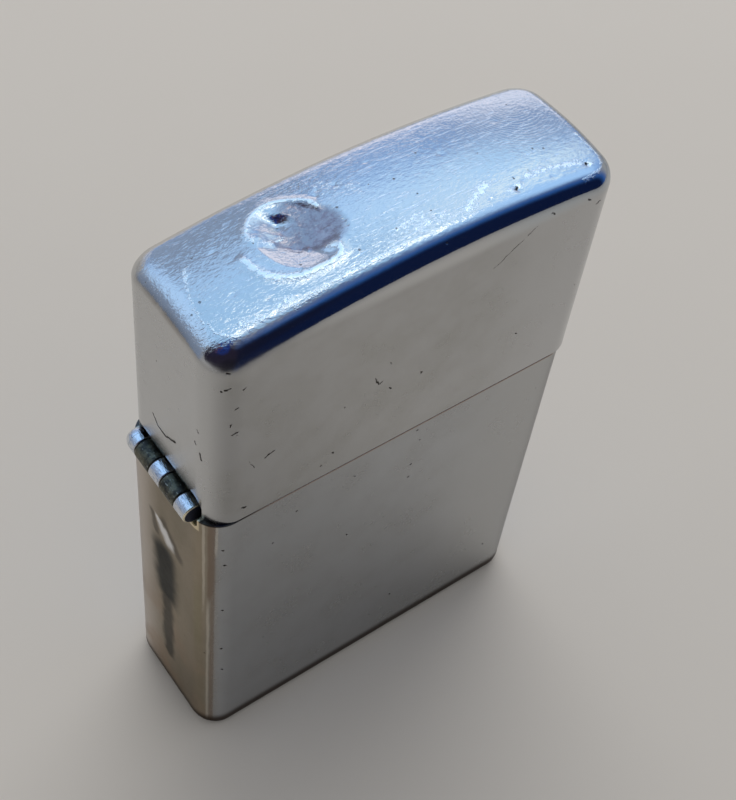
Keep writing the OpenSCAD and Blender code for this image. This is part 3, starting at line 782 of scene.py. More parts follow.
def make_wick():
    """Braided cord: two sets of strands wound opposite ways, over and under, with a frayed tip"""
    low, high = WICK_LO[2], WICK_HI[2]
    angle = round_angles(64)
    z, a = np.meshgrid(np.linspace(low, high, 420), angle, indexing="ij")
    strands = 6
    one, two = (np.cos(strands * (a + way * WICK_LAY * z)) for way in (-1, 1))
    over = 0.5 + 0.5 * np.tanh(3 * np.sin(strands * a) * np.sin(strands * WICK_LAY * z))
    weave = np.where(over > 0.5, one, two) * 0.6 + 0.4 * np.maximum(one, two)
    fray = smooth_step(z - high + 1.0)
    lumps = wobble(np.stack([a * 3, z * 4, 0 * z], -1), 1.5, 6)
    r = WICK_R - 0.16 + 0.13 * weave + 0.02 * lumps - 0.1 * fray
    tip = 0.25 * fray * wobble(np.stack([a * 2, 0 * z, 0 * z], -1), 1.2, 9) - 0.25 * fray
    points = np.stack([wick_at(z) + r * np.cos(a), r * np.sin(a), z + tip], -1)
    ends = []
    for row, inward in ((points[:1], (0.5, 0.0)), (points[-1:], (0.6, 0.25, 0.0))):
        mid = row.mean(1, keepdims=True)
        ends.append([mid + (row - mid) * s for s in inward])
    rows = np.concatenate([*ends[0][::-1], points, *ends[1]])
    return mesh_object("wick_braid", rows.reshape(-1, 3), ring_faces(len(rows), len(angle)), SOFT_DEG)


def make_cotton(i):
    """Lump of cotton wool, full against the tank and puckered into folds"""
    low, high = box_mm(f"packing_{i}")
    mid, half = (low + high) / 2, (high - low) / 2
    turn, rise = np.meshgrid(np.linspace(-90, 90, 57), np.linspace(0, 360, 96, endpoint=False), indexing="ij")
    t, a = np.radians(turn), np.radians(rise)

    def flat(v):
        return np.sign(v) * np.abs(v) ** 0.45

    wide = flat(np.cos(t))
    unit = np.stack([wide * flat(np.cos(a)), wide * flat(np.sin(a)), flat(np.sin(t))], -1)
    lump = ripples(unit * 3, ((0.05, 1.6, 30 + i), (0.025, 0.6, 40 + i)))
    fold = -0.05 * np.exp(-((wobble(unit * 3, 2.4, 50 + i) / 0.08) ** 2))
    points = mid + unit * half * (1 + lump + fold)[..., None]
    return mesh_object(f"cotton_{i}", points.reshape(-1, 3), ring_faces(*turn.shape), SOFT_DEG)


def make_felt():
    """Pressed pad with soft edges and a hole for the flint screw"""
    low, high = box_mm("felt_pad")
    half, mid, corner = (high - low) / 2, (low + high) / 2, 1.15
    plan = Plan(half[0], half[1], corner, 0.35, mid[0])
    profile = rounded([(corner, low[2]), (0, low[2]), (0, high[2]), (corner, high[2])], 0.5, 5)
    rings = [np.c_[plan.points - plan.normals * e, np.full(len(plan.points), z)] for e, z in profile]
    points, faces = plan.filled(rings, [lambda q, z=z: np.full(len(q), z) for z in (low[2], high[2])])
    inward = np.where(points[:, 2] > mid[2], -1, 1)
    points[:, 2] += inward * 0.06 * (1 + wobble(points, 2.6, 61))
    points[:, 0] += plan.mid_x
    piece = mesh_object("felt_sheet", points, faces, SOFT_DEG)
    hole = rod("hole", 2.8, (WHEEL[0], 0, 0), low[2] - 1, high[2] + 1)
    return join_boolean(piece, hole, "DIFFERENCE", SOFT_DEG)


# Flint feed
SCREW_LO, SCREW_HI = box_mm("flint_screw")
FLINT_LO, FLINT_HI = box_mm("flint")
TIP_LO, TIP_HI = box_mm("spring_tip")
SPRING_LO, SPRING_HI = box_mm("flint_spring")
FLINT_R = (FLINT_HI[0] - FLINT_LO[0]) / 2
THREAD_R = 1.6
THREAD_L = 5.5
THREAD_PITCH = 0.6
PILOT_R = 0.5
SCREW_HEAD_R = 2.5
SCREW_HEAD_L = 1.6
SPRING_TURNS = 22
SPRING_WIRE_R = 0.2


def make_flint_tube():
    bore, wide = FLINT_R + 0.1, THREAD_R + 0.03
    step = TUBE_LO[2] + THREAD_L + 0.3
    loop = [
        (wide, step - 0.2), (bore, step), (bore, TUBE_HI[2]), (TUBE_R, TUBE_HI[2]), (TUBE_R, TUBE_LO[2]),
        (wide, TUBE_LO[2]), (wide, step - 0.21)]
    return turned("flint_tube_drawn", rounded(loop, 0.12, 3), (WHEEL[0], 0, 0), closed=True)


def make_flint_screw():
    """Knurled head with a coin slot, a cut thread and the pin that guides the spring"""
    low, high, steps = SCREW_LO[2], SCREW_HI[2], 96
    head = low + SCREW_HEAD_L
    neck, shoulder = THREAD_R - 0.15, head + THREAD_L
    profile = rounded([(0, low), (SCREW_HEAD_R, low), (SCREW_HEAD_R, head), (neck, head)], 0.22, 4)
    thread = [(neck, z) for z in np.linspace(head + 0.2, shoulder - 0.1, 110)]
    point = rounded([(THREAD_R - 0.3, shoulder), (PILOT_R, shoulder), (PILOT_R, high), (0, high)], 0.12)
    line = np.concatenate([profile, thread, point])
    angle = round_angles(steps)
    r, z = (np.repeat(line[:, k:k + 1], steps, 1) for k in (0, 1))
    cut = (z > head + 0.1) & (z < shoulder - 0.05)
    r = r + np.where(cut, 0.14 * np.cos(TURN * z / THREAD_PITCH - angle), 0)
    grip = (z > low + 0.25) & (z < head - 0.2) & (r > SCREW_HEAD_R - 0.05)
    r = r + np.where(grip, -0.06 * (1 - np.cos(32 * angle)), 0)
    points = round_points(r, z, angle, (WHEEL[0], 0, 0))
    piece = mesh_object("flint_screw_cut", points, ring_faces(len(line), steps))
    slot = slab("slot", (WHEEL[0] - 0.35, -5, low - 1), (WHEEL[0] + 0.35, 5, low + 0.7), 0.05)
    return join_boolean(piece, slot, "DIFFERENCE")


def make_spring():
    wire, sides = SPRING_WIRE_R, 12
    coil_r = (SPRING_HI[0] - SPRING_LO[0]) / 2 - wire
    low, high = SPRING_LO[2] + wire, SPRING_HI[2] - wire
    t = np.linspace(0, 1, SPRING_TURNS * 28 + 1)
    a = TURN * SPRING_TURNS * t
    path = np.stack([WHEEL[0] + coil_r * np.cos(a), coil_r * np.sin(a), low + (high - low) * t], -1)
    along = np.gradient(path, axis=0)
    along /= np.linalg.norm(along, axis=1, keepdims=True)
    out = np.stack([np.cos(a), np.sin(a), 0 * a], -1)
    up = np.cross(along, out)
    rows = np.stack([path + wire * (math.cos(k) * out + math.sin(k) * up) for k in round_angles(sides)], 1)
    rows = np.concatenate([path[:1, None] + 0 * rows[:1], rows, path[-1:, None] + 0 * rows[-1:]])
    return mesh_object("feed_spring_coil", rows.reshape(-1, 3), ring_faces(len(rows), sides), SOFT_DEG)


def make_tip():
    line = [(0, TIP_LO[2]), (PILOT_R, TIP_LO[2]), (PILOT_R, TIP_HI[2] - 1.2), (FLINT_R, TIP_HI[2] - 1.2),
            (FLINT_R, TIP_HI[2]), (0, TIP_HI[2])]
    return turned("feed_tip_turned", rounded(line, 0.14), (WHEEL[0], 0, 0))


def make_flint():
    """Sintered stick with a worn, hollowed top"""
    top = FLINT_HI[2]
    line = [(0, FLINT_LO[2]), (FLINT_R, FLINT_LO[2]), (FLINT_R, top), (0.5, top - 0.06), (0, top - 0.08)]
    return turned("flint_stick", rounded(line, 0.18), (WHEEL[0], 0, 0))


# Wheel, axle and rivets
def make_wheel():
    """Striking wheel: slanting file teeth between two plain knurled rims, on a stepped hub"""
    low, high = box_mm("flint_wheel")
    half, outer = (high[1] - low[1]) / 2, (high[0] - low[0]) / 2
    rim, hub, bore, teeth, band = 2.8, 1.9, AXLE_HOLE_R, 36, 1.7
    line = [(bore, 0), (bore, -half), (hub, -half), (hub, -rim), (outer - 0.5, -rim)]
    cut = [(outer - 0.28, -rim + 0.05), (outer, -rim + 0.3)]
    cut += [(outer, y) for y in np.linspace(-rim + 0.4, rim - 0.4, 41)]
    cut += [(outer, rim - 0.3), (outer - 0.28, rim - 0.05)]
    back = [(outer - 0.5, rim), (hub, rim), (hub, half), (bore, half), (bore, 0.01)]
    rows = np.concatenate([rounded(line, 0.12, 3), np.array(cut), rounded(back, 0.12, 3)])
    steps = teeth * 10
    angle = round_angles(steps)
    r, y = (np.repeat(rows[:, k:k + 1], steps, 1) for k in (0, 1))
    filed = np.abs(y) < band
    phase = ((angle - np.where(filed, 0.16 * y, 0.0)) * teeth / TURN) % 1.0
    saw = np.where(phase < 0.75, phase / 0.75, (1 - phase) / 0.25)
    deep = np.where(filed, 0.34, 0.2)
    groove = np.where(np.abs(np.abs(y) - 1.75) < 0.16, 0.3, 0.0)
    r = np.where(r > outer - 0.05, outer - np.maximum(deep * (1 - saw), groove), r)
    points = round_points(r, y, angle, (WHEEL[0], 0, WHEEL[2]), "y")
    return mesh_object("striking_wheel", points, ring_faces(len(rows), steps, True), 30)


def make_rivet(name, node, axis, shank, head_t):
    """Rivet with two domed heads, filling the box of its node"""
    low, high = box_mm(node)
    mid = (low + high) / 2
    k = 1 if axis == "y" else 2
    half = (high[k] - low[k]) / 2
    head = (high[0] - low[0]) / 2
    dome = [(head * math.sin(a), half - head_t * (1 - math.cos(a)) * 0.8) for a in np.linspace(0, 1.57, 9)]
    top = [*dome, (head, half - head_t), (shank, half - head_t)]
    line = [*[(r, -h) for r, h in top], *top[::-1]]
    return turned(name, line, mid, axis, 40)


# Materials
class Graph:
    """Short calls for building a node tree"""

    def __init__(self, tree):
        self.tree = tree
        tree.nodes.clear()

    def put(self, socket, value):
        if isinstance(value, bpy.types.NodeSocket):
            self.tree.links.new(value, socket)
        else:
            socket.default_value = value

    def node(self, kind, inputs=None, **settings):
        made = self.tree.nodes.new(kind)
        for name, value in settings.items():
            setattr(made, name, value)
        for key, value in (inputs or {}).items():
            self.put(made.inputs[key], value)
        return made

    def math(self, operation, *values):
        return self.node("ShaderNodeMath", dict(enumerate(values)), operation=operation).outputs[0]

    def vector(self, operation, *values, out=0):
        return self.node("ShaderNodeVectorMath", dict(enumerate(values)), operation=operation).outputs[out]

    def scale(self, vector, amount):
        return self.node("ShaderNodeVectorMath", {0: vector, "Scale": amount}, operation="SCALE").outputs[0]

    def parts(self, vector):
        return self.node("ShaderNodeSeparateXYZ", {0: vector}).outputs[:3]

    def ease(self, value, start, end, low=0.0, high=1.0):
        """Smooth change from low to high as the value goes from start to end"""
        inputs = {0: value, 1: start, 2: end, 3: low, 4: high}
        made = self.node("ShaderNodeMapRange", inputs, interpolation_type="SMOOTHSTEP")
        return made.outputs[0]

    def mix(self, factor, one, two):
        made = self.node("ShaderNodeMix", data_type="RGBA")
        for index, value in ((0, factor), (6, one), (7, two)):
            self.put(made.inputs[index], (*value, 1.0) if isinstance(value, tuple) else value)
        return made.outputs[2]

    def mix_value(self, factor, one, two):
        made = self.node("ShaderNodeMix", {0: factor, 2: one, 3: two})
        return made.outputs[0]

    def noise(self, vector, scale, detail=3.0, rough=0.55):
        inputs = {"Vector": vector, "Scale": scale, "Detail": detail, "Roughness": rough}
        return self.node("ShaderNodeTexNoise", inputs).outputs["Fac"]

    def stretch(self, vector, factors, turn_deg=(0, 0, 0)):
        turn = tuple(math.radians(a) for a in turn_deg)
        made = self.node("ShaderNodeMapping", {"Vector": vector, "Rotation": turn, "Scale": factors})
        return made.outputs[0]

    def bump(self, height, distance_mm=1.0):
        inputs = {"Height": height, "Distance": distance_mm * MM, "Strength": 1.0}
        return self.node("ShaderNodeBump", inputs).outputs[0]

    def attribute(self, name):
        return self.node("ShaderNodeAttribute", attribute_name=name).outputs["Fac"]

    def less(self, one, two):
        return self.math("SUBTRACT", one, two)

    def fold(self, operation, values):
        total = values[0]
        for value in values[1:]:
            total = self.math(operation, total, value)
        return total

    def add(self, *values):
        return self.fold("ADD", values)

    def top_of(self, *values):
        return self.fold("MAXIMUM", values)

    def times(self, *values):
        return self.fold("MULTIPLY", values)

    def finish(self, shader, colour, rough, normal, metallic=1.0):
        inputs = {"Base Color": colour, "Roughness": rough, "Normal": normal, "Metallic": metallic}
        for name, value in inputs.items():
            self.put(shader.inputs[name], value)


def new_material(name):
    """Material with a principled shader, and its position in millimetres"""
    material = bpy.data.materials.new(name)
    material.use_nodes = True
    g = Graph(material.node_tree)
    out = g.node("ShaderNodeOutputMaterial")
    shader = g.node("ShaderNodeBsdfPrincipled")
    g.put(out.inputs["Surface"], shader.outputs[0])
    place_mm = g.scale(g.node("ShaderNodeTexCoord").outputs["Object"], 1 / MM)
    return material, g, shader, place_mm


def segment_mask(g, p, start, end, width):
    """1 on a short line from start to end, fading out over its width"""
    ba = tuple(b - a for a, b in zip(start, end))
    span = max(sum(c * c for c in ba), 1e-6)
    pa = g.vector("SUBTRACT", p, start)
    along = g.math("DIVIDE", g.vector("DOT_PRODUCT", pa, ba, out=1), span)
    along = g.math("MINIMUM", g.math("MAXIMUM", along, 0.0), 1.0)
    away = g.vector("SUBTRACT", pa, g.scale(ba, along))
    return g.ease(g.vector("LENGTH", away, out=1), width, 0.3 * width)


# Painted light: the crown's chrome is lighter than the walls'
TOP_CHROME_LIT = (0.60, 0.605, 0.61)
LID_CHROME = (0.46, 0.462, 0.465)
LID_WORN = (0.41, 0.41, 0.40)
CASE_CHROME = (0.515, 0.528, 0.545)
CASE_WORN = (0.475, 0.482, 0.49)
# Near white of rubbed plating and of painted highlights
RUBBED_AND_GLINT_CHROME = (0.95, 0.93, 0.88)
DULL_CHROME = (0.26, 0.19, 0.22)
DIRT = (0.035, 0.03, 0.026)
FRONT = -HALF_D
LID_END = LID_LO[0]


def front_marks(rows):
    return [((x0, FRONT, z0), (x1, FRONT, z1), width) for x0, z0, x1, z1, width in rows]


# Marks on the lid and the case: two ends and a width, in millimetres, those on one flat face in its plane
LID_FRONT = (
    (6.7, 51.9, 10.3, 54.5, 0.06), (-3.6, 45.3, -3.2, 44.3, 0.09), (-3.2, 44.3, -2.8, 44.5, 0.08),
    (-2.0, 43.1, -1.9, 42.9, 0.12), (-2.3, 46.4, -2.2, 46.2, 0.1), (1.0, 43.1, 1.1, 42.9, 0.1),
    (-7.0, 38.1, -6.9, 38.0, 0.12), (-13.45, 42.3, -13.15, 42.5, 0.13), (11.0, 41.6, 11.1, 41.5, 0.12),
    (16.7, 44.2, 16.8, 44.1, 0.12), (15.4, 54.8, 15.6, 54.6, 0.11), (16.4, 53.8, 16.8, 53.9, 0.1),
    (11.6, 55.2, 11.9, 55.0, 0.14), (-15.65, 52.1, -15.5, 52.2, 0.12), (-14.9, 42.8, -14.4, 41.7, 0.06),
    (-15.4, 37.0, -15.1, 36.9, 0.14), (-13.0, 42.5, -12.7, 42.65, 0.11))
LID_SIDE = (
    (2.2, 41.2, 1.5, 40.4, 0.14), (1.5, 40.4, 0.5, 40.3, 0.17), (0.5, 40.3, -1.0, 41.2, 0.2),
    (-4.2, 46.5, -4.3, 46.2, 0.13), (-3.9, 44.8, -4.0, 44.5, 0.1))
LID_MARKS = (
    *front_marks(LID_FRONT), *(((LID_END, y0, z0), (LID_END, y1, z1), w) for y0, z0, y1, z1, w in LID_SIDE),
    ((9.45, -4.3, 56.95), (9.6, -4.2, 56.95), 0.17), ((16.3, -4.5, 56.3), (16.45, -4.4, 56.3), 0.16),
    ((-16.5, -6.25, 48.4), (-16.55, -6.23, 48.1), 0.12),
    ((-17.98, -4.45, 43.9), (-17.97, -4.6, 43.1), 0.12),
    ((-16.95, -6.03, 52.4), (-16.6, -6.21, 52.6), 0.12), ((-17.15, -5.87, 52.3), (-17.1, -5.9, 52.2), 0.11),
    ((-16.76, -5.98, 54.1), (-16.6, -6.1, 54.1), 0.13), ((-16.25, -6.34, 50.1), (-16.0, -6.39, 50.2), 0.09),
    ((-16.4, -6.29, 47.1), (-16.05, -6.38, 47.35), 0.1))
CASE_FRONT = (
    (2.4, 7.2, 2.5, 7.1, 0.13), (14.2, 6.2, 14.3, 6.1, 0.11), (-4.3, 23.7, -4.2, 23.6, 0.11),
    (-4.4, 32.8, -4.3, 32.7, 0.1), (2.3, 33.0, 2.4, 32.9, 0.1))
CASE_MARKS = (
    *front_marks(CASE_FRONT),
    ((-16.95, -6.28, 31.9), (-16.9, -6.28, 31.8), 0.15), ((-16.8, -6.28, 29.5), (-16.7, -6.28, 29.4), 0.15),
    ((-16.9, -6.28, 22.2), (-16.8, -6.28, 22.1), 0.15), ((-16.9, -6.28, 15.4), (-16.8, -6.28, 15.3), 0.15),
    ((-16.8, -6.28, 11.4), (-16.7, -6.28, 11.3), 0.15))


def hairlines(g, p, turn_deg, seed_shift):
    """Fine straight scratches in one direction"""
    shifted = g.vector("ADD", p, seed_shift)
    drawn = g.stretch(shifted, (0.35, 7.0, 7.0), turn_deg)
    return g.ease(g.noise(drawn, 1.0, 2.0, 0.6), 0.60, 0.72)


def make_chrome(name, plain, worn, edge_tint, marks, wear):
    """Worn plating: smudges, dark nicks at the given marks, and the wear and painted light of one piece on
    top
    """
    material, g, shader, p = new_material(name)
    ragged = g.vector("ADD", p, scaled_noise(g, p))
    masks = [segment_mask(g, ragged, *mark) for mark in marks]
    smudge = g.noise(p, 0.16, 4.0, 0.6)
    fine = g.noise(p, 1.4, 4.0, 0.6)
    look = {
        "colour": g.mix(g.ease(smudge, 0.35, 0.7), plain, worn),
        "rough": g.add(0.2, g.ease(smudge, 0.3, 0.75, 0.0, 0.07), g.ease(fine, 0.4, 0.8, 0.0, 0.05)),
        "dark": g.top_of(*masks, g.times(speckle(g, p, 0.5, 0.05), 0.7)),
        "height": g.times(g.noise(p, 2.2, 2.0, 0.5), 0.004)}
    wear(g, p, look)
    nick = g.times(look["dark"], -0.015)
    rough = g.add(look["rough"], g.times(look["dark"], 0.35))
    g.finish(shader, g.mix(look["dark"], look["colour"], DIRT), rough, g.bump(g.add(look["height"], nick)))
    shader.inputs["Specular Tint"].default_value = (edge_tint, edge_tint, edge_tint, 1.0)
    return material


def lid_wear_and_painted_light(g, p, look):
    """The crown is scratched, rubbed along its ridges and dull inside the dent, and painted lighter than the
    walls, with painted highlights and painted bluish reflections
    """
    x, y, z = g.parts(p)
    crown = g.ease(z, LID_HI[2] - 3.4, LID_HI[2] - 2.2)
    flat = g.times(crown, g.ease(y, -5.3, -4.7), g.ease(y, 6.0, 5.4))
    peel = g.noise(g.stretch(p, (1.0, 1.7, 1.7), (0, 0, 12)), 2.0, 3.0, 0.6)
    lines = g.top_of(hairlines(g, p, (0, 0, 8), (0, 0, 0)), hairlines(g, p, (0, 0, -24), (9, 4, 2)))
    lines = g.times(lines, flat)
    swirl = g.node("ShaderNodeTexWave", {
        "Vector": g.vector("SUBTRACT", p, (15.0, 3.5, 0.0)), "Scale": 1.1, "Distortion": 5.0, "Detail": 2.0,
        "Detail Scale": 0.6}, wave_type="RINGS", rings_direction="Z").outputs["Fac"]
    swirl = g.times(g.ease(swirl, 0.8, 0.97), flat, g.ease(x, 7.0, 14.0), g.ease(y, -3.0, 0.0))
    # Scattered flecks of painted highlight, added to the rubbed lines and painted highlights
    fleck_glint = g.less(g.noise(g.stretch(p, (0.6, 1.0, 1.0), (0, 0, 15)), 4.5, 3.0, 0.65), 0.5)
    rub_and_glint = g.ease(g.add(g.attribute("rub_and_glint"), g.times(fleck_glint, 1.7)), 0.45, 0.8)
    dull = g.times(g.attribute("dull"), g.ease(g.noise(p, 2.4, 3.0, 0.6), 0.35, 0.6, 1.0, 0.75))
    edge = g.top_of(
        g.ease(y, 5.5, 6.2), g.ease(x, LID_HI[0] - 0.9, LID_HI[0] - 0.2), g.ease(x, LID_END + 0.5, LID_END))
    grime = g.times(crown, edge, g.ease(g.noise(p, 0.5, 3.0), 0.35, 0.6, 0.5, 1.0))
    specks = g.times(speckle(g, p, 1.2, 0.09), flat)
    # Painted reflection: the walls lighter at the hinge end and towards the right end
    side = g.mix(g.ease(x, LID_END + 1.5, LID_END + 0.2), look["colour"], (0.54, 0.545, 0.55))
    side = g.mix(g.ease(x, 4.0, 17.0), side, (0.52, 0.523, 0.53))
    # Painted light: the crown lighter than the walls, with a painted bluish sky reflection towards the right
    # end
    colour = g.mix(crown, side, g.mix(g.ease(x, 4.0, 12.0), TOP_CHROME_LIT, (0.53, 0.57, 0.605)))
    # Painted glints along the scratches of the crown
    colour = g.mix(g.times(lines, 0.4), colour, (0.82, 0.84, 0.86))
    # Painted bluish reflection on the round edge at the right end of the crown
    colour = g.mix(g.times(crown, g.ease(x, 17.7, 18.3), 0.6), colour, (0.30, 0.37, 0.47))
    colour = g.mix(g.times(swirl, 0.25), colour, (0.72, 0.69, 0.66))
    colour = g.mix(g.times(dull, 0.85), colour, DULL_CHROME)
    colour = g.mix(g.times(grime, 0.85), colour, (0.20, 0.165, 0.135))
    # Near white where the plating is rubbed and where highlights are painted
    look["colour"] = g.mix(g.times(rub_and_glint, crown), colour, RUBBED_AND_GLINT_CHROME)
    look["rough"] = g.add(
        g.mix_value(crown, look["rough"], 0.09), g.times(rub_and_glint, crown, 0.2), g.times(dull, 0.12),
        g.times(lines, 0.06))
    look["dark"] = g.top_of(look["dark"], g.times(specks, 0.6))
    peel = g.times(peel, g.ease(x, 4.0, 9.0, 0.04, 0.022))
    ripple = g.times(flat, g.add(peel, g.times(lines, -0.006), g.times(swirl, 0.004)))
    look["height"] = g.add(look["height"], ripple, g.times(rub_and_glint, crown, 0.012))


def case_wear_and_painted_light(g, p, look):
    """Brown bloom, a dark streak and a painted glint edged with painted shade on the hinge end, bare edges,
    stains and painted highlights down its corner, painted shade in the seam near the hinge and a painted
    contact shadow at the foot
    """
    x, y, z = g.parts(p)
    face = -HALF_W
    end = g.ease(x, face + 1.6, face + 0.25)
    patch = g.noise(g.stretch(p, (1.0, 1.0, 0.45)), 0.35, 4.0, 0.6)
    brown = g.mix(g.ease(patch, 0.35, 0.7), (0.375, 0.315, 0.235), (0.32, 0.27, 0.195))
    brown = g.mix(g.ease(y, 0.5, 5.5), brown, (0.84, 0.77, 0.71))
    warm = g.times(g.ease(g.noise(p, 0.2, 3.0), 0.4, 0.75, 0.0, 0.7), g.ease(z, 20.0, 8.0))
    brown = g.mix(warm, brown, (0.45, 0.32, 0.22))
    # Painted reflection: the case lighter towards its right end
    plate = g.mix(g.ease(x, 2.0, 16.0), look["colour"], (0.565, 0.57, 0.572))
    colour = g.mix(g.times(end, 0.95), plate, brown)
    look["rough"] = g.add(look["rough"], g.times(end, 0.1))
    bent = g.vector("ADD", p, g.scale(scaled_noise(g, g.scale(p, 0.2)), 3.0))

    def streak(y0, z0, y1, z1, width):
        return segment_mask(g, bent, (face, y0, z0), (face, y1, z1), width)

    # A dark upright streak down the hinge end, wide above and narrow below
    dark_streak = g.top_of(streak(0.3, 23.4, 0.2, 17.8, 2.6), g.times(streak(0.1, 18.0, 0.1, 6.6, 1.3), 0.8))
    colour = g.mix(g.times(dark_streak, end, 0.95), colour, (0.012, 0.014, 0.012))
    # Painted shade along both sides of the painted glint
    shade_mask = g.top_of(streak(2.2, 27.9, 1.5, 25.8, 0.7), streak(0.3, 28.4, -1.9, 26.2, 1.0))
    colour = g.mix(g.times(shade_mask, end, 0.65), colour, (0.09, 0.075, 0.06))
    # Painted glint: a near-white highlight on the hinge end
    glint = g.top_of(streak(1.2, 28.0, 0.2, 27.0, 0.7), streak(0.3, 27.1, -0.5, 26.3, 1.1))
    colour = g.mix(g.times(glint, end), colour, (0.97, 0.97, 0.98))
    colour = corner_stains_and_highlights(g, p, colour)
    bare = g.times(
        g.ease(z, CASE_NOTCH_FLOOR - 0.3, CASE_NOTCH_FLOOR - 0.12),
        g.ease(y, NOTCH_Y[0] - 0.25, NOTCH_Y[0] - 0.1),
        g.ease(y, NOTCH_Y[1] + 0.25, NOTCH_Y[1] + 0.1), end)
    colour = g.mix(g.times(bare, 0.9), colour, (0.85, 0.74, 0.52))
    # Darker along the case's rim at the seam: a brown line of dirt, turning near black towards the hinge end
    # as painted shade in the gap
    rim = g.times(g.ease(z, SEAM_Z - 0.2, SEAM_Z - 0.08), g.less(1.0, bare))
    dirt = g.mix(g.ease(x, -12.0, -16.0), (0.40, 0.30, 0.24), (0.03, 0.024, 0.02))
    colour = g.mix(g.times(rim, 0.92), colour, dirt)
    # Painted contact shadow: dark brown on the round edge of the foot
    painted_contact_shadow = g.ease(z, 2.5, 1.3)
    look["colour"] = g.mix(g.times(painted_contact_shadow, 0.93), colour, (0.05, 0.032, 0.022))


def corner_stains_and_highlights(g, p, colour):
    """Upright streaks round the corner between the hinge end and the front: brown and olive stains, and pale
    painted highlights
    """
    x, y, z = g.parts(p)
    back_x, back_y = HALF_W - CORNER_R, HALF_D - CORNER_R
    turn = g.math("ARCTAN2", g.less(-back_y, y), g.less(-back_x, x))
    sway = g.less(g.noise(g.stretch(p, (1.0, 1.0, 0.3)), 1.2, 3.0, 0.6), 0.5)
    turn = g.add(g.times(turn, 180 / math.pi), g.times(sway, 5.0))
    here = g.times(g.ease(x, 1.5 - back_x, 0.5 - back_x), g.ease(y, 1.0 - back_y, -back_y))
    upper = g.ease(g.add(z, g.times(sway, 8.0)), 21.0, 26.0)

    def streak(middle, half):
        return g.ease(g.math("ABSOLUTE", g.less(turn, middle)), half, 0.4 * half)

    brown = g.top_of(g.times(streak(47.0, 10.0), upper), g.times(streak(50.0, 6.0), 0.75))
    # Pale painted highlights at set angles round the corner
    pale = g.top_of(
        g.times(streak(32.0, 4.0), upper), g.times(streak(56.0, 3.5), upper, g.ease(z, 30.5, 32.0)),
        g.times(streak(41.0, 3.5), g.ease(z, 25.0, 21.0)))
    olive = g.times(streak(18.0, 14.0), here, g.ease(z, 13.0, 17.0), g.ease(z, 27.0, 24.0))
    colour = g.mix(g.times(olive, 0.3), colour, (0.30, 0.28, 0.17))
    colour = g.mix(g.times(brown, here, 0.65), colour, (0.24, 0.165, 0.115))
    return g.mix(g.times(pale, here, 0.4), colour, (0.85, 0.80, 0.70))


def scaled_noise(g, p):
    """Small sideways shift that makes straight marks ragged"""
    colour = g.node("ShaderNodeTexNoise", {"Vector": p, "Scale": 3.0, "Detail": 2.0}).outputs["Color"]
    return g.scale(g.vector("SUBTRACT", colour, (0.5, 0.5, 0.5)), 0.35)


def speckle(g, p, scale, size):
    """Scattered dots of mixed sizes"""
    cells = g.node("ShaderNodeTexVoronoi", {"Vector": p, "Scale": scale})
    reach = g.times(g.ease(g.parts(cells.outputs["Color"])[0], 0.55, 1.0), size * 1.6)
    return g.ease(g.less(cells.outputs["Distance"], reach), 0.0, -0.02)


def make_metal(name, colour, rough, grain=(1.0, 1.0, 8.0), dirt=0.3, deep=0.004):
    """Plain metal with a drawn or brushed grain, patchy dirt and small nicks"""
    material, g, shader, p = new_material(name)
    drawn = g.noise(g.stretch(p, grain), 2.0, 3.0, 0.6)
    patch = g.noise(p, 0.6, 4.0, 0.6)
    stain = tuple(c * 0.35 for c in colour)
    grime = g.times(g.ease(patch, 0.5, 0.75), dirt)
    shaded = g.mix(g.ease(drawn, 0.3, 0.7), tuple(c * 0.85 for c in colour), colour)
    rough = g.add(g.ease(drawn, 0.3, 0.7, rough, rough + 0.12), g.times(grime, 0.3))
    normal = g.bump(g.less(drawn, speckle(g, p, 1.1, 0.1)), deep)
    g.finish(shader, g.mix(grime, shaded, stain), rough, normal)
    return material


def make_bright_knuckles():
    """Bright plating with fine scratches round the barrel, a bare rim at its front end and painted shade
    inside it
    """
    material, g, shader, p = new_material("chrome_hinge")
    x, y, z = g.parts(p)
    drawn = g.noise(g.stretch(p, (5.0, 1.2, 5.0)), 1.5, 3.0, 0.65)
    specks = speckle(g, p, 3.2, 0.12)
    colour = g.mix(g.ease(drawn, 0.52, 0.68), (0.70, 0.73, 0.78), (0.36, 0.42, 0.52))
    colour = g.mix(g.times(specks, 0.7), colour, (0.08, 0.10, 0.16))
    squares = [g.math("POWER", g.less(v, HINGE[k]), 2.0) for v, k in ((x, 0), (z, 2))]
    away = g.math("SQRT", g.add(*squares))
    near = g.ease(y, PIN_LO[1] + 0.2, PIN_LO[1] + 0.05)
    colour = g.mix(g.times(near, g.ease(away, 0.8, 0.9)), colour, (0.85, 0.78, 0.58))
    # Painted shade in the mouth of the bore
    painted_bore_shade = g.times(near, g.ease(away, 0.9, 0.82))
    colour = g.mix(g.times(painted_bore_shade, 0.97), colour, (0.012, 0.016, 0.045))
    rough = g.add(0.1, g.times(specks, 0.2), g.times(painted_bore_shade, 0.4))
    g.finish(shader, colour, rough, g.bump(g.less(drawn, g.times(specks, 0.5)), 0.05))
    return material


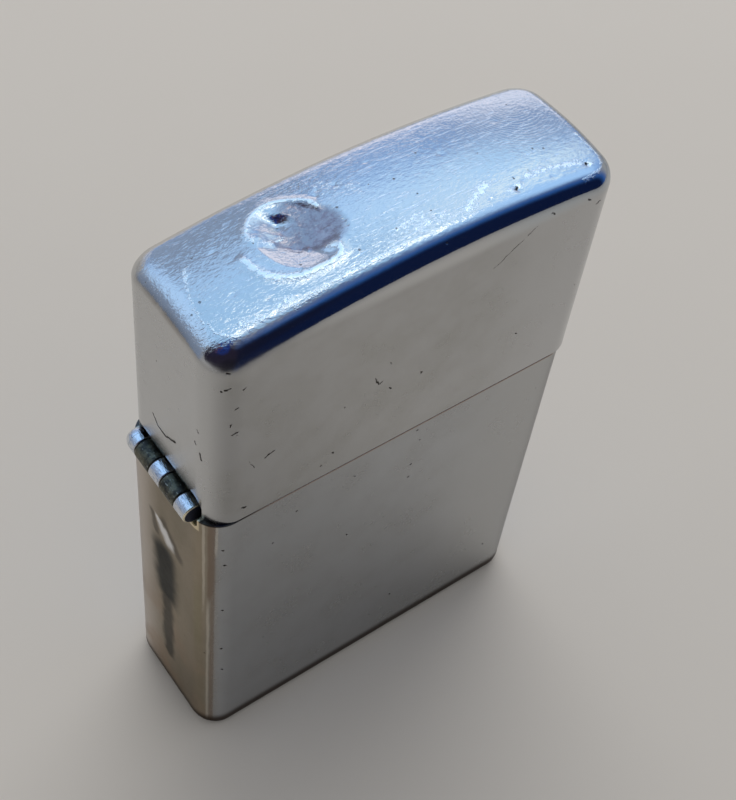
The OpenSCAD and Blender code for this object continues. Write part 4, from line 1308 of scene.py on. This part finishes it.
def make_dull_knuckles():
    """Worn grey-green plating, scratched all over and rubbed pale along the outside"""
    material, g, shader, p = new_material("dull_hinge")
    z = g.parts(p)[2]
    drawn = g.noise(g.stretch(p, (4.0, 1.5, 4.0), (0, 0, 20)), 1.6, 4.0, 0.7)
    patch = g.noise(p, 1.6, 4.0, 0.65)
    colour = g.mix(g.ease(patch, 0.4, 0.62), (0.15, 0.145, 0.105), (0.055, 0.055, 0.05))
    colour = g.mix(g.ease(drawn, 0.58, 0.70), colour, (0.36, 0.37, 0.33))
    rubbed = g.times(g.ease(z, HINGE[2] - 0.3, HINGE[2] - 0.5), g.ease(z, HINGE[2] - 3.0, HINGE[2] - 2.0))
    colour = g.mix(g.times(rubbed, 0.8), colour, (0.70, 0.62, 0.42))
    g.finish(shader, colour, g.ease(drawn, 0.3, 0.7, 0.5, 0.3), g.bump(drawn, 0.06))
    return material


def make_insert_steel():
    """Brushed stainless with soot round the flame and heat colour on the chimney"""
    material, g, shader, p = new_material("insert_steel")
    drawn = g.noise(g.stretch(p, (0.6, 6.0, 9.0)), 1.2, 3.0, 0.6)
    flame = g.vector("DISTANCE", p, (WICK_X, 0.0, WICK_HI[2] + 3.0), out=1)
    cloud = g.noise(p, 0.45, 4.0, 0.65)
    soot = g.times(g.ease(g.less(flame, g.times(cloud, 9.0)), 5.5, 0.5), 0.9)
    heat = g.ease(g.less(flame, g.times(cloud, 6.0)), 8.0, 4.0)
    steel = g.mix(g.ease(drawn, 0.3, 0.7), (0.50, 0.50, 0.49), (0.62, 0.62, 0.60))
    warm = g.mix(g.times(heat, 0.45), steel, (0.50, 0.42, 0.30))
    rough = g.add(g.ease(drawn, 0.3, 0.7, 0.24, 0.36), g.times(soot, 0.45))
    g.finish(shader, g.mix(soot, warm, (0.03, 0.027, 0.025)), rough, g.bump(drawn, 0.006))
    return material


def make_fibre(name, colour, dark, scale, deep):
    """Matted fibres: long soft strands over a mottled ground"""
    material, g, shader, p = new_material(name)
    warp = g.vector("ADD", p, g.scale(scaled_noise(g, g.scale(p, 0.5)), 2.0))
    strands = g.noise(g.stretch(warp, (1.0, 5.0, 5.0), (20, 10, 35)), scale, 4.0, 0.65)
    ground = g.noise(p, 0.5, 3.0)
    fluff = g.add(g.times(strands, 0.7), g.times(ground, 0.3))
    colour = g.mix(g.ease(fluff, 0.35, 0.65), dark, colour)
    g.finish(shader, colour, g.ease(fluff, 0.3, 0.7, 0.98, 0.85), g.bump(strands, deep), 0.0)
    shader.inputs["Sheen Weight"].default_value = 0.25
    return material


def make_wick_cord():
    """Cream yarn with copper threads in the braid and a charred, sooty tip"""
    material, g, shader, p = new_material("wick_cord")
    x, y, z = g.parts(p)
    turn = g.math("ARCTAN2", y, g.less(x, WICK_X))
    winding = g.math("SINE", g.times(g.less(turn, g.times(z, WICK_LAY)), 3.0))
    copper = g.ease(winding, 0.93, 0.98)
    yarn = g.noise(g.stretch(p, (6.0, 6.0, 2.0)), 1.6, 3.0, 0.6)
    cream = g.mix(g.ease(yarn, 0.3, 0.7), (0.60, 0.54, 0.42), (0.82, 0.77, 0.66))
    char = g.ease(g.add(z, g.times(yarn, 2.0)), WICK_HI[2] - 2.2, WICK_HI[2] + 0.4)
    thread = g.mix(copper, cream, (0.55, 0.24, 0.11))
    colour = g.mix(char, thread, (0.03, 0.026, 0.023))
    metallic = g.times(copper, g.less(1.0, char))
    g.finish(shader, colour, g.ease(copper, 0.0, 1.0, 0.92, 0.4), g.bump(yarn, 0.05), metallic)
    return material


# Stage, light and camera
def make_floor():
    half = 2500.0
    points = [(-half, -half, 0), (half, -half, 0), (half, half, 0), (-half, half, 0)]
    floor = mesh_object("floor", points, [[0, 1, 2, 3]])
    material, g, shader, p = new_material("pale_floor")
    cloud = g.noise(p, 0.02, 3.0)
    g.put(shader.inputs["Base Color"], g.mix(cloud, (0.70, 0.675, 0.645), (0.73, 0.71, 0.68)))
    shader.inputs["Roughness"].default_value = 0.75
    shader.inputs["Specular IOR Level"].default_value = 0.2
    floor.data.materials.append(material)


def make_lamp(name, place_mm, size_mm, power, colour):
    light = bpy.data.lights.new(name, "AREA")
    light.shape = "DISK"
    light.size = size_mm * MM
    light.energy = power
    light.color = colour
    lamp = link_object(name, light)
    lamp.matrix_world = facing(place_mm, place_mm)
    lamp.visible_glossy = False


def facing(back, place_mm, roll=0.0):
    """Matrix of a camera or lamp that looks against back"""
    back = np.array(back, float) / np.linalg.norm(back)
    right = np.cross(UP, back)
    right /= np.linalg.norm(right)
    up = np.cross(back, right)
    turned_right = math.cos(roll) * right + math.sin(roll) * up
    turned_up = math.cos(roll) * up - math.sin(roll) * right
    m = Matrix.Identity(4)
    for k, axis in enumerate((turned_right, turned_up, back)):
        for row in range(3):
            m[row][k] = axis[row]
    for row in range(3):
        m[row][3] = place_mm[row] * MM
    return m


# What the metal sees last: a direction, the degrees where it is full and where it is gone, and its colour
ROOM_PATCHES = (
    ((0.40, 0.02, 0.92), 4, 9, (2.6, 2.75, 2.7)),
    ((0.12, 0.05, 0.99), 4, 8, (2.4, 2.5, 2.45)),
    ((0.45, -0.86, 0.22), 35, 58, (0.035, 0.13, 0.42)),
    ((0.45, -0.86, 0.22), 23, 39, (0.004, 0.011, 0.05)),
    ((-0.05, -0.82, 0.57), 12, 25, (0.006, 0.009, 0.03)),
    ((-0.45, -0.62, 0.62), 23, 38, (0.02, 0.016, 0.034)),
    ((-0.70, -0.25, 0.66), 16, 26, (0.02, 0.016, 0.034)),
    ((-0.35, -0.90, 0.25), 16, 24, (0.012, 0.011, 0.022)),
    ((-0.45, -0.20, 0.87), 14, 20, (0.02, 0.02, 0.05)),
    ((-0.26, -0.38, 0.89), 10, 15, (0.014, 0.035, 0.19)),
    ((-0.12, -0.22, 0.97), 7, 13, (0.03, 0.09, 0.34)),
    ((-0.36, -0.14, 0.92), 5, 11, (0.12, 0.068, 0.09)))


def make_world():
    """Soft even light, and for the metal a plain room: a blue sky window, pale walls and a dark front"""
    world = bpy.data.worlds.new("room")
    bpy.context.scene.world = world
    world.use_nodes = True
    g = Graph(world.node_tree)
    way = g.node("ShaderNodeTexCoord").outputs["Generated"]
    up = g.parts(way)[2]

    def lobe(direction, full_deg, none_deg):
        axis = np.array(direction) / np.linalg.norm(direction)
        dot = g.vector("DOT_PRODUCT", way, tuple(axis), out=1)
        return g.ease(dot, math.cos(math.radians(none_deg)), math.cos(math.radians(full_deg)))

    cloud = g.noise(way, 5.0, 4.0, 0.6)
    room = g.mix(g.ease(up, -0.05, 0.9), (0.46, 0.45, 0.44), (0.36, 0.38, 0.42))
    room = g.mix(lobe((0.35, 0.92, 0.15), 14, 40), room, (0.80, 0.80, 0.84))
    sky = g.mix(g.ease(up, 0.40, 0.58), (0.33, 0.50, 0.83), (0.37, 0.62, 1.10))
    sky = g.mix(g.ease(up, 0.59, 0.68), sky, (0.62, 0.97, 1.46))
    sky = g.mix(g.ease(up, 0.80, 0.90), sky, (0.50, 0.85, 1.27))
    sky = g.mix(lobe((0.55, 0.40, 0.74), 6, 16), sky, (0.74, 1.10, 1.52))
    sky = g.mix(lobe((0.10, 0.84, 0.53), 11, 20), sky, (0.31, 0.40, 0.57))
    sky = g.mix(g.ease(cloud, 0.30, 0.48, 0.45, 0.0), sky, (0.30, 0.42, 0.66))
    sky = g.mix(g.ease(cloud, 0.54, 0.72, 0.0, 0.3), sky, (0.86, 1.16, 1.55))
    pale = g.times(lobe((0.70, 0.55, 0.46), 4, 15), g.ease(cloud, 0.45, 0.6, 0.0, 0.4))
    sky = g.mix(pale, sky, (0.60, 0.58, 0.56))
    room = g.mix(lobe((0.34, 0.50, 0.80), 44, 58), room, sky)
    room = g.mix(lobe((-0.48, 0.57, 0.66), 10, 26), room, (0.66, 0.98, 1.42))
    room = g.mix(lobe((-0.78, 0.55, 0.25), 16, 34), room, (0.27, 0.34, 0.47))
    strip = g.math("ABSOLUTE", g.vector("DOT_PRODUCT", way, (-0.292, 0.947, -0.127), out=1))
    patchy = g.ease(cloud, 0.4, 0.6, 0.5, 1.0)
    strip = g.times(g.ease(strip, 0.06, 0.015), lobe((0.66, 0.30, 0.69), 8, 18), patchy)
    room = g.mix(strip, room, (1.4, 1.55, 1.55))
    low = [lobe((0.66, 0.68, 0.31), 10, 17), lobe((0.52, 0.80, 0.29), 6, 10), lobe((0.43, 0.86, 0.27), 5, 9)]
    low = g.times(g.top_of(*low), g.ease(up, 0.40, 0.35))
    room = g.mix(low, room, (1.20, 1.21, 1.40))
    for direction, full_deg, none_deg, tint in ROOM_PATCHES:
        room = g.mix(lobe(direction, full_deg, none_deg), room, tint)
    path = g.node("ShaderNodeLightPath")
    light = g.mix(path.outputs["Is Glossy Ray"], (0.42, 0.415, 0.41), room)
    seen = g.mix(path.outputs["Is Camera Ray"], light, (0.52, 0.50, 0.475))
    back = g.node("ShaderNodeBackground", {"Color": seen, "Strength": 1.0})
    out = g.node("ShaderNodeOutputWorld")
    g.put(out.inputs["Surface"], back.outputs[0])


CAMERA_AZ, CAMERA_EL, CAMERA_ROLL = (math.radians(a) for a in (-42.162, 52.322, 8.381))
CAMERA_TARGET = np.array([1.765, 0.0, 31.689])
CAMERA_DISTANCE = 130.168
CAMERA_LENS = 67.74


def make_camera():
    flat = math.cos(CAMERA_EL)
    back = np.array([math.sin(CAMERA_AZ) * flat, -math.cos(CAMERA_AZ) * flat, math.sin(CAMERA_EL)])
    data = bpy.data.cameras.new("camera")
    data.lens = CAMERA_LENS
    data.clip_start = 0.005
    data.clip_end = 20.0
    camera = link_object("camera", data)
    camera.matrix_world = facing(back, CAMERA_TARGET + back * CAMERA_DISTANCE, CAMERA_ROLL)
    bpy.context.scene.camera = camera


def finish_node(node, material, soft=0.06):
    """A CAD node that stays: softened edges and its own material"""
    piece = frame["nodes"][node]
    piece.modifiers.new("join_points", "WELD").merge_threshold = 0.001 * MM
    bevel = piece.modifiers.new("soft_edges", "BEVEL")
    bevel.width = soft * MM
    bevel.segments = 2
    bevel.limit_method = "ANGLE"
    bevel.angle_limit = math.radians(40)
    piece.data.materials.clear()
    piece.data.materials.append(material)


bpy.context.scene.view_settings.view_transform = "Standard"
make_camera()
make_world()
make_floor()
make_lamp("window_light", place_mm=(280, 365, 380), size_mm=700, power=1.85, colour=(1.0, 0.98, 0.95))

MATERIALS = {
    "chrome_lid": make_chrome("chrome_lid", LID_CHROME, LID_WORN, 1.0, LID_MARKS, lid_wear_and_painted_light),
    "chrome_case": make_chrome("chrome_case", CASE_CHROME, CASE_WORN, 0.6, CASE_MARKS, case_wear_and_painted_light),
    "chrome_hinge": make_bright_knuckles(),
    "dull_hinge": make_dull_knuckles(),
    "insert_steel": make_insert_steel(),
    "pin_steel": make_metal("pin_steel", (0.55, 0.55, 0.54), 0.22),
    "cam_steel": make_metal("cam_steel", (0.42, 0.42, 0.43), 0.3, (4.0, 4.0, 4.0)),
    "wheel_steel": make_metal("wheel_steel", (0.24, 0.24, 0.25), 0.35, (3.0, 3.0, 3.0), 0.6, 0.01),
    "flint_alloy": make_metal("flint_alloy", (0.18, 0.17, 0.165), 0.55, (9.0, 9.0, 9.0), 0.6, 0.03),
    "brass": make_metal("brass", (0.72, 0.52, 0.24), 0.24, (6.0, 6.0, 1.0), 0.35),
    "wick_cord": make_wick_cord(),
    "cotton": make_fibre("cotton", (0.86, 0.84, 0.79), (0.62, 0.59, 0.52), 1.6, 0.12),
    "felt": make_fibre("felt", (0.72, 0.69, 0.61), (0.46, 0.43, 0.37), 2.2, 0.08)}

place(make_lid(), "lid", "chrome_lid", "lid")
place(make_case(), "case", "chrome_case", "lower_case")
case_knuckles = make_hinge("case_knuckles", "case_hinge_plate", 0, -1)
place(case_knuckles, "case", "chrome_hinge", "case_hinge_plate")
lid_knuckles = make_hinge("lid_knuckles", "lid_hinge_plate", 1, 1)
place(lid_knuckles, "lid", "dull_hinge", "lid_hinge_plate")
place(make_pin(), "case", "pin_steel", "hinge_pin")
place(make_tank(), "case", "insert_steel", "insert_tank")
place(make_chimney(), "case", "insert_steel", "chimney")
place(make_wick(), "case", "wick_cord", "wick")
for number in range(1, PACKS + 1):
    lump = place(make_cotton(number), "case", "cotton", f"packing_{number}")
place(make_felt(), "case", "felt", "felt_pad")
place(make_flint_tube(), "case", "brass", "flint_tube")
place(make_flint_screw(), "case", "brass", "flint_screw")
spring = place(make_spring(), "case", "pin_steel", "flint_spring")
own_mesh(spring)
place(make_tip(), "flint", "brass", "spring_tip")
place(make_flint(), "flint", "flint_alloy", "flint")
place(make_wheel(), "wheel", "wheel_steel", "flint_wheel")
place(make_rivet("wheel_axle_pin", "wheel_axle", "y", 0.75, 0.35), "case", "pin_steel", "wheel_axle")
place(make_rivet("cam_rivet_pin", "cam_rivet", "y", 0.55, 0.4), "case", "pin_steel", "cam_rivet")
place(make_rivet("spring_rivet_pin", "spring_rivet", "z", 0.6, 0.4), "case", "pin_steel", "spring_rivet")
finish_node("cam", MATERIALS["cam_steel"])
finish_node("cam_spring", MATERIALS["pin_steel"], 0.04)
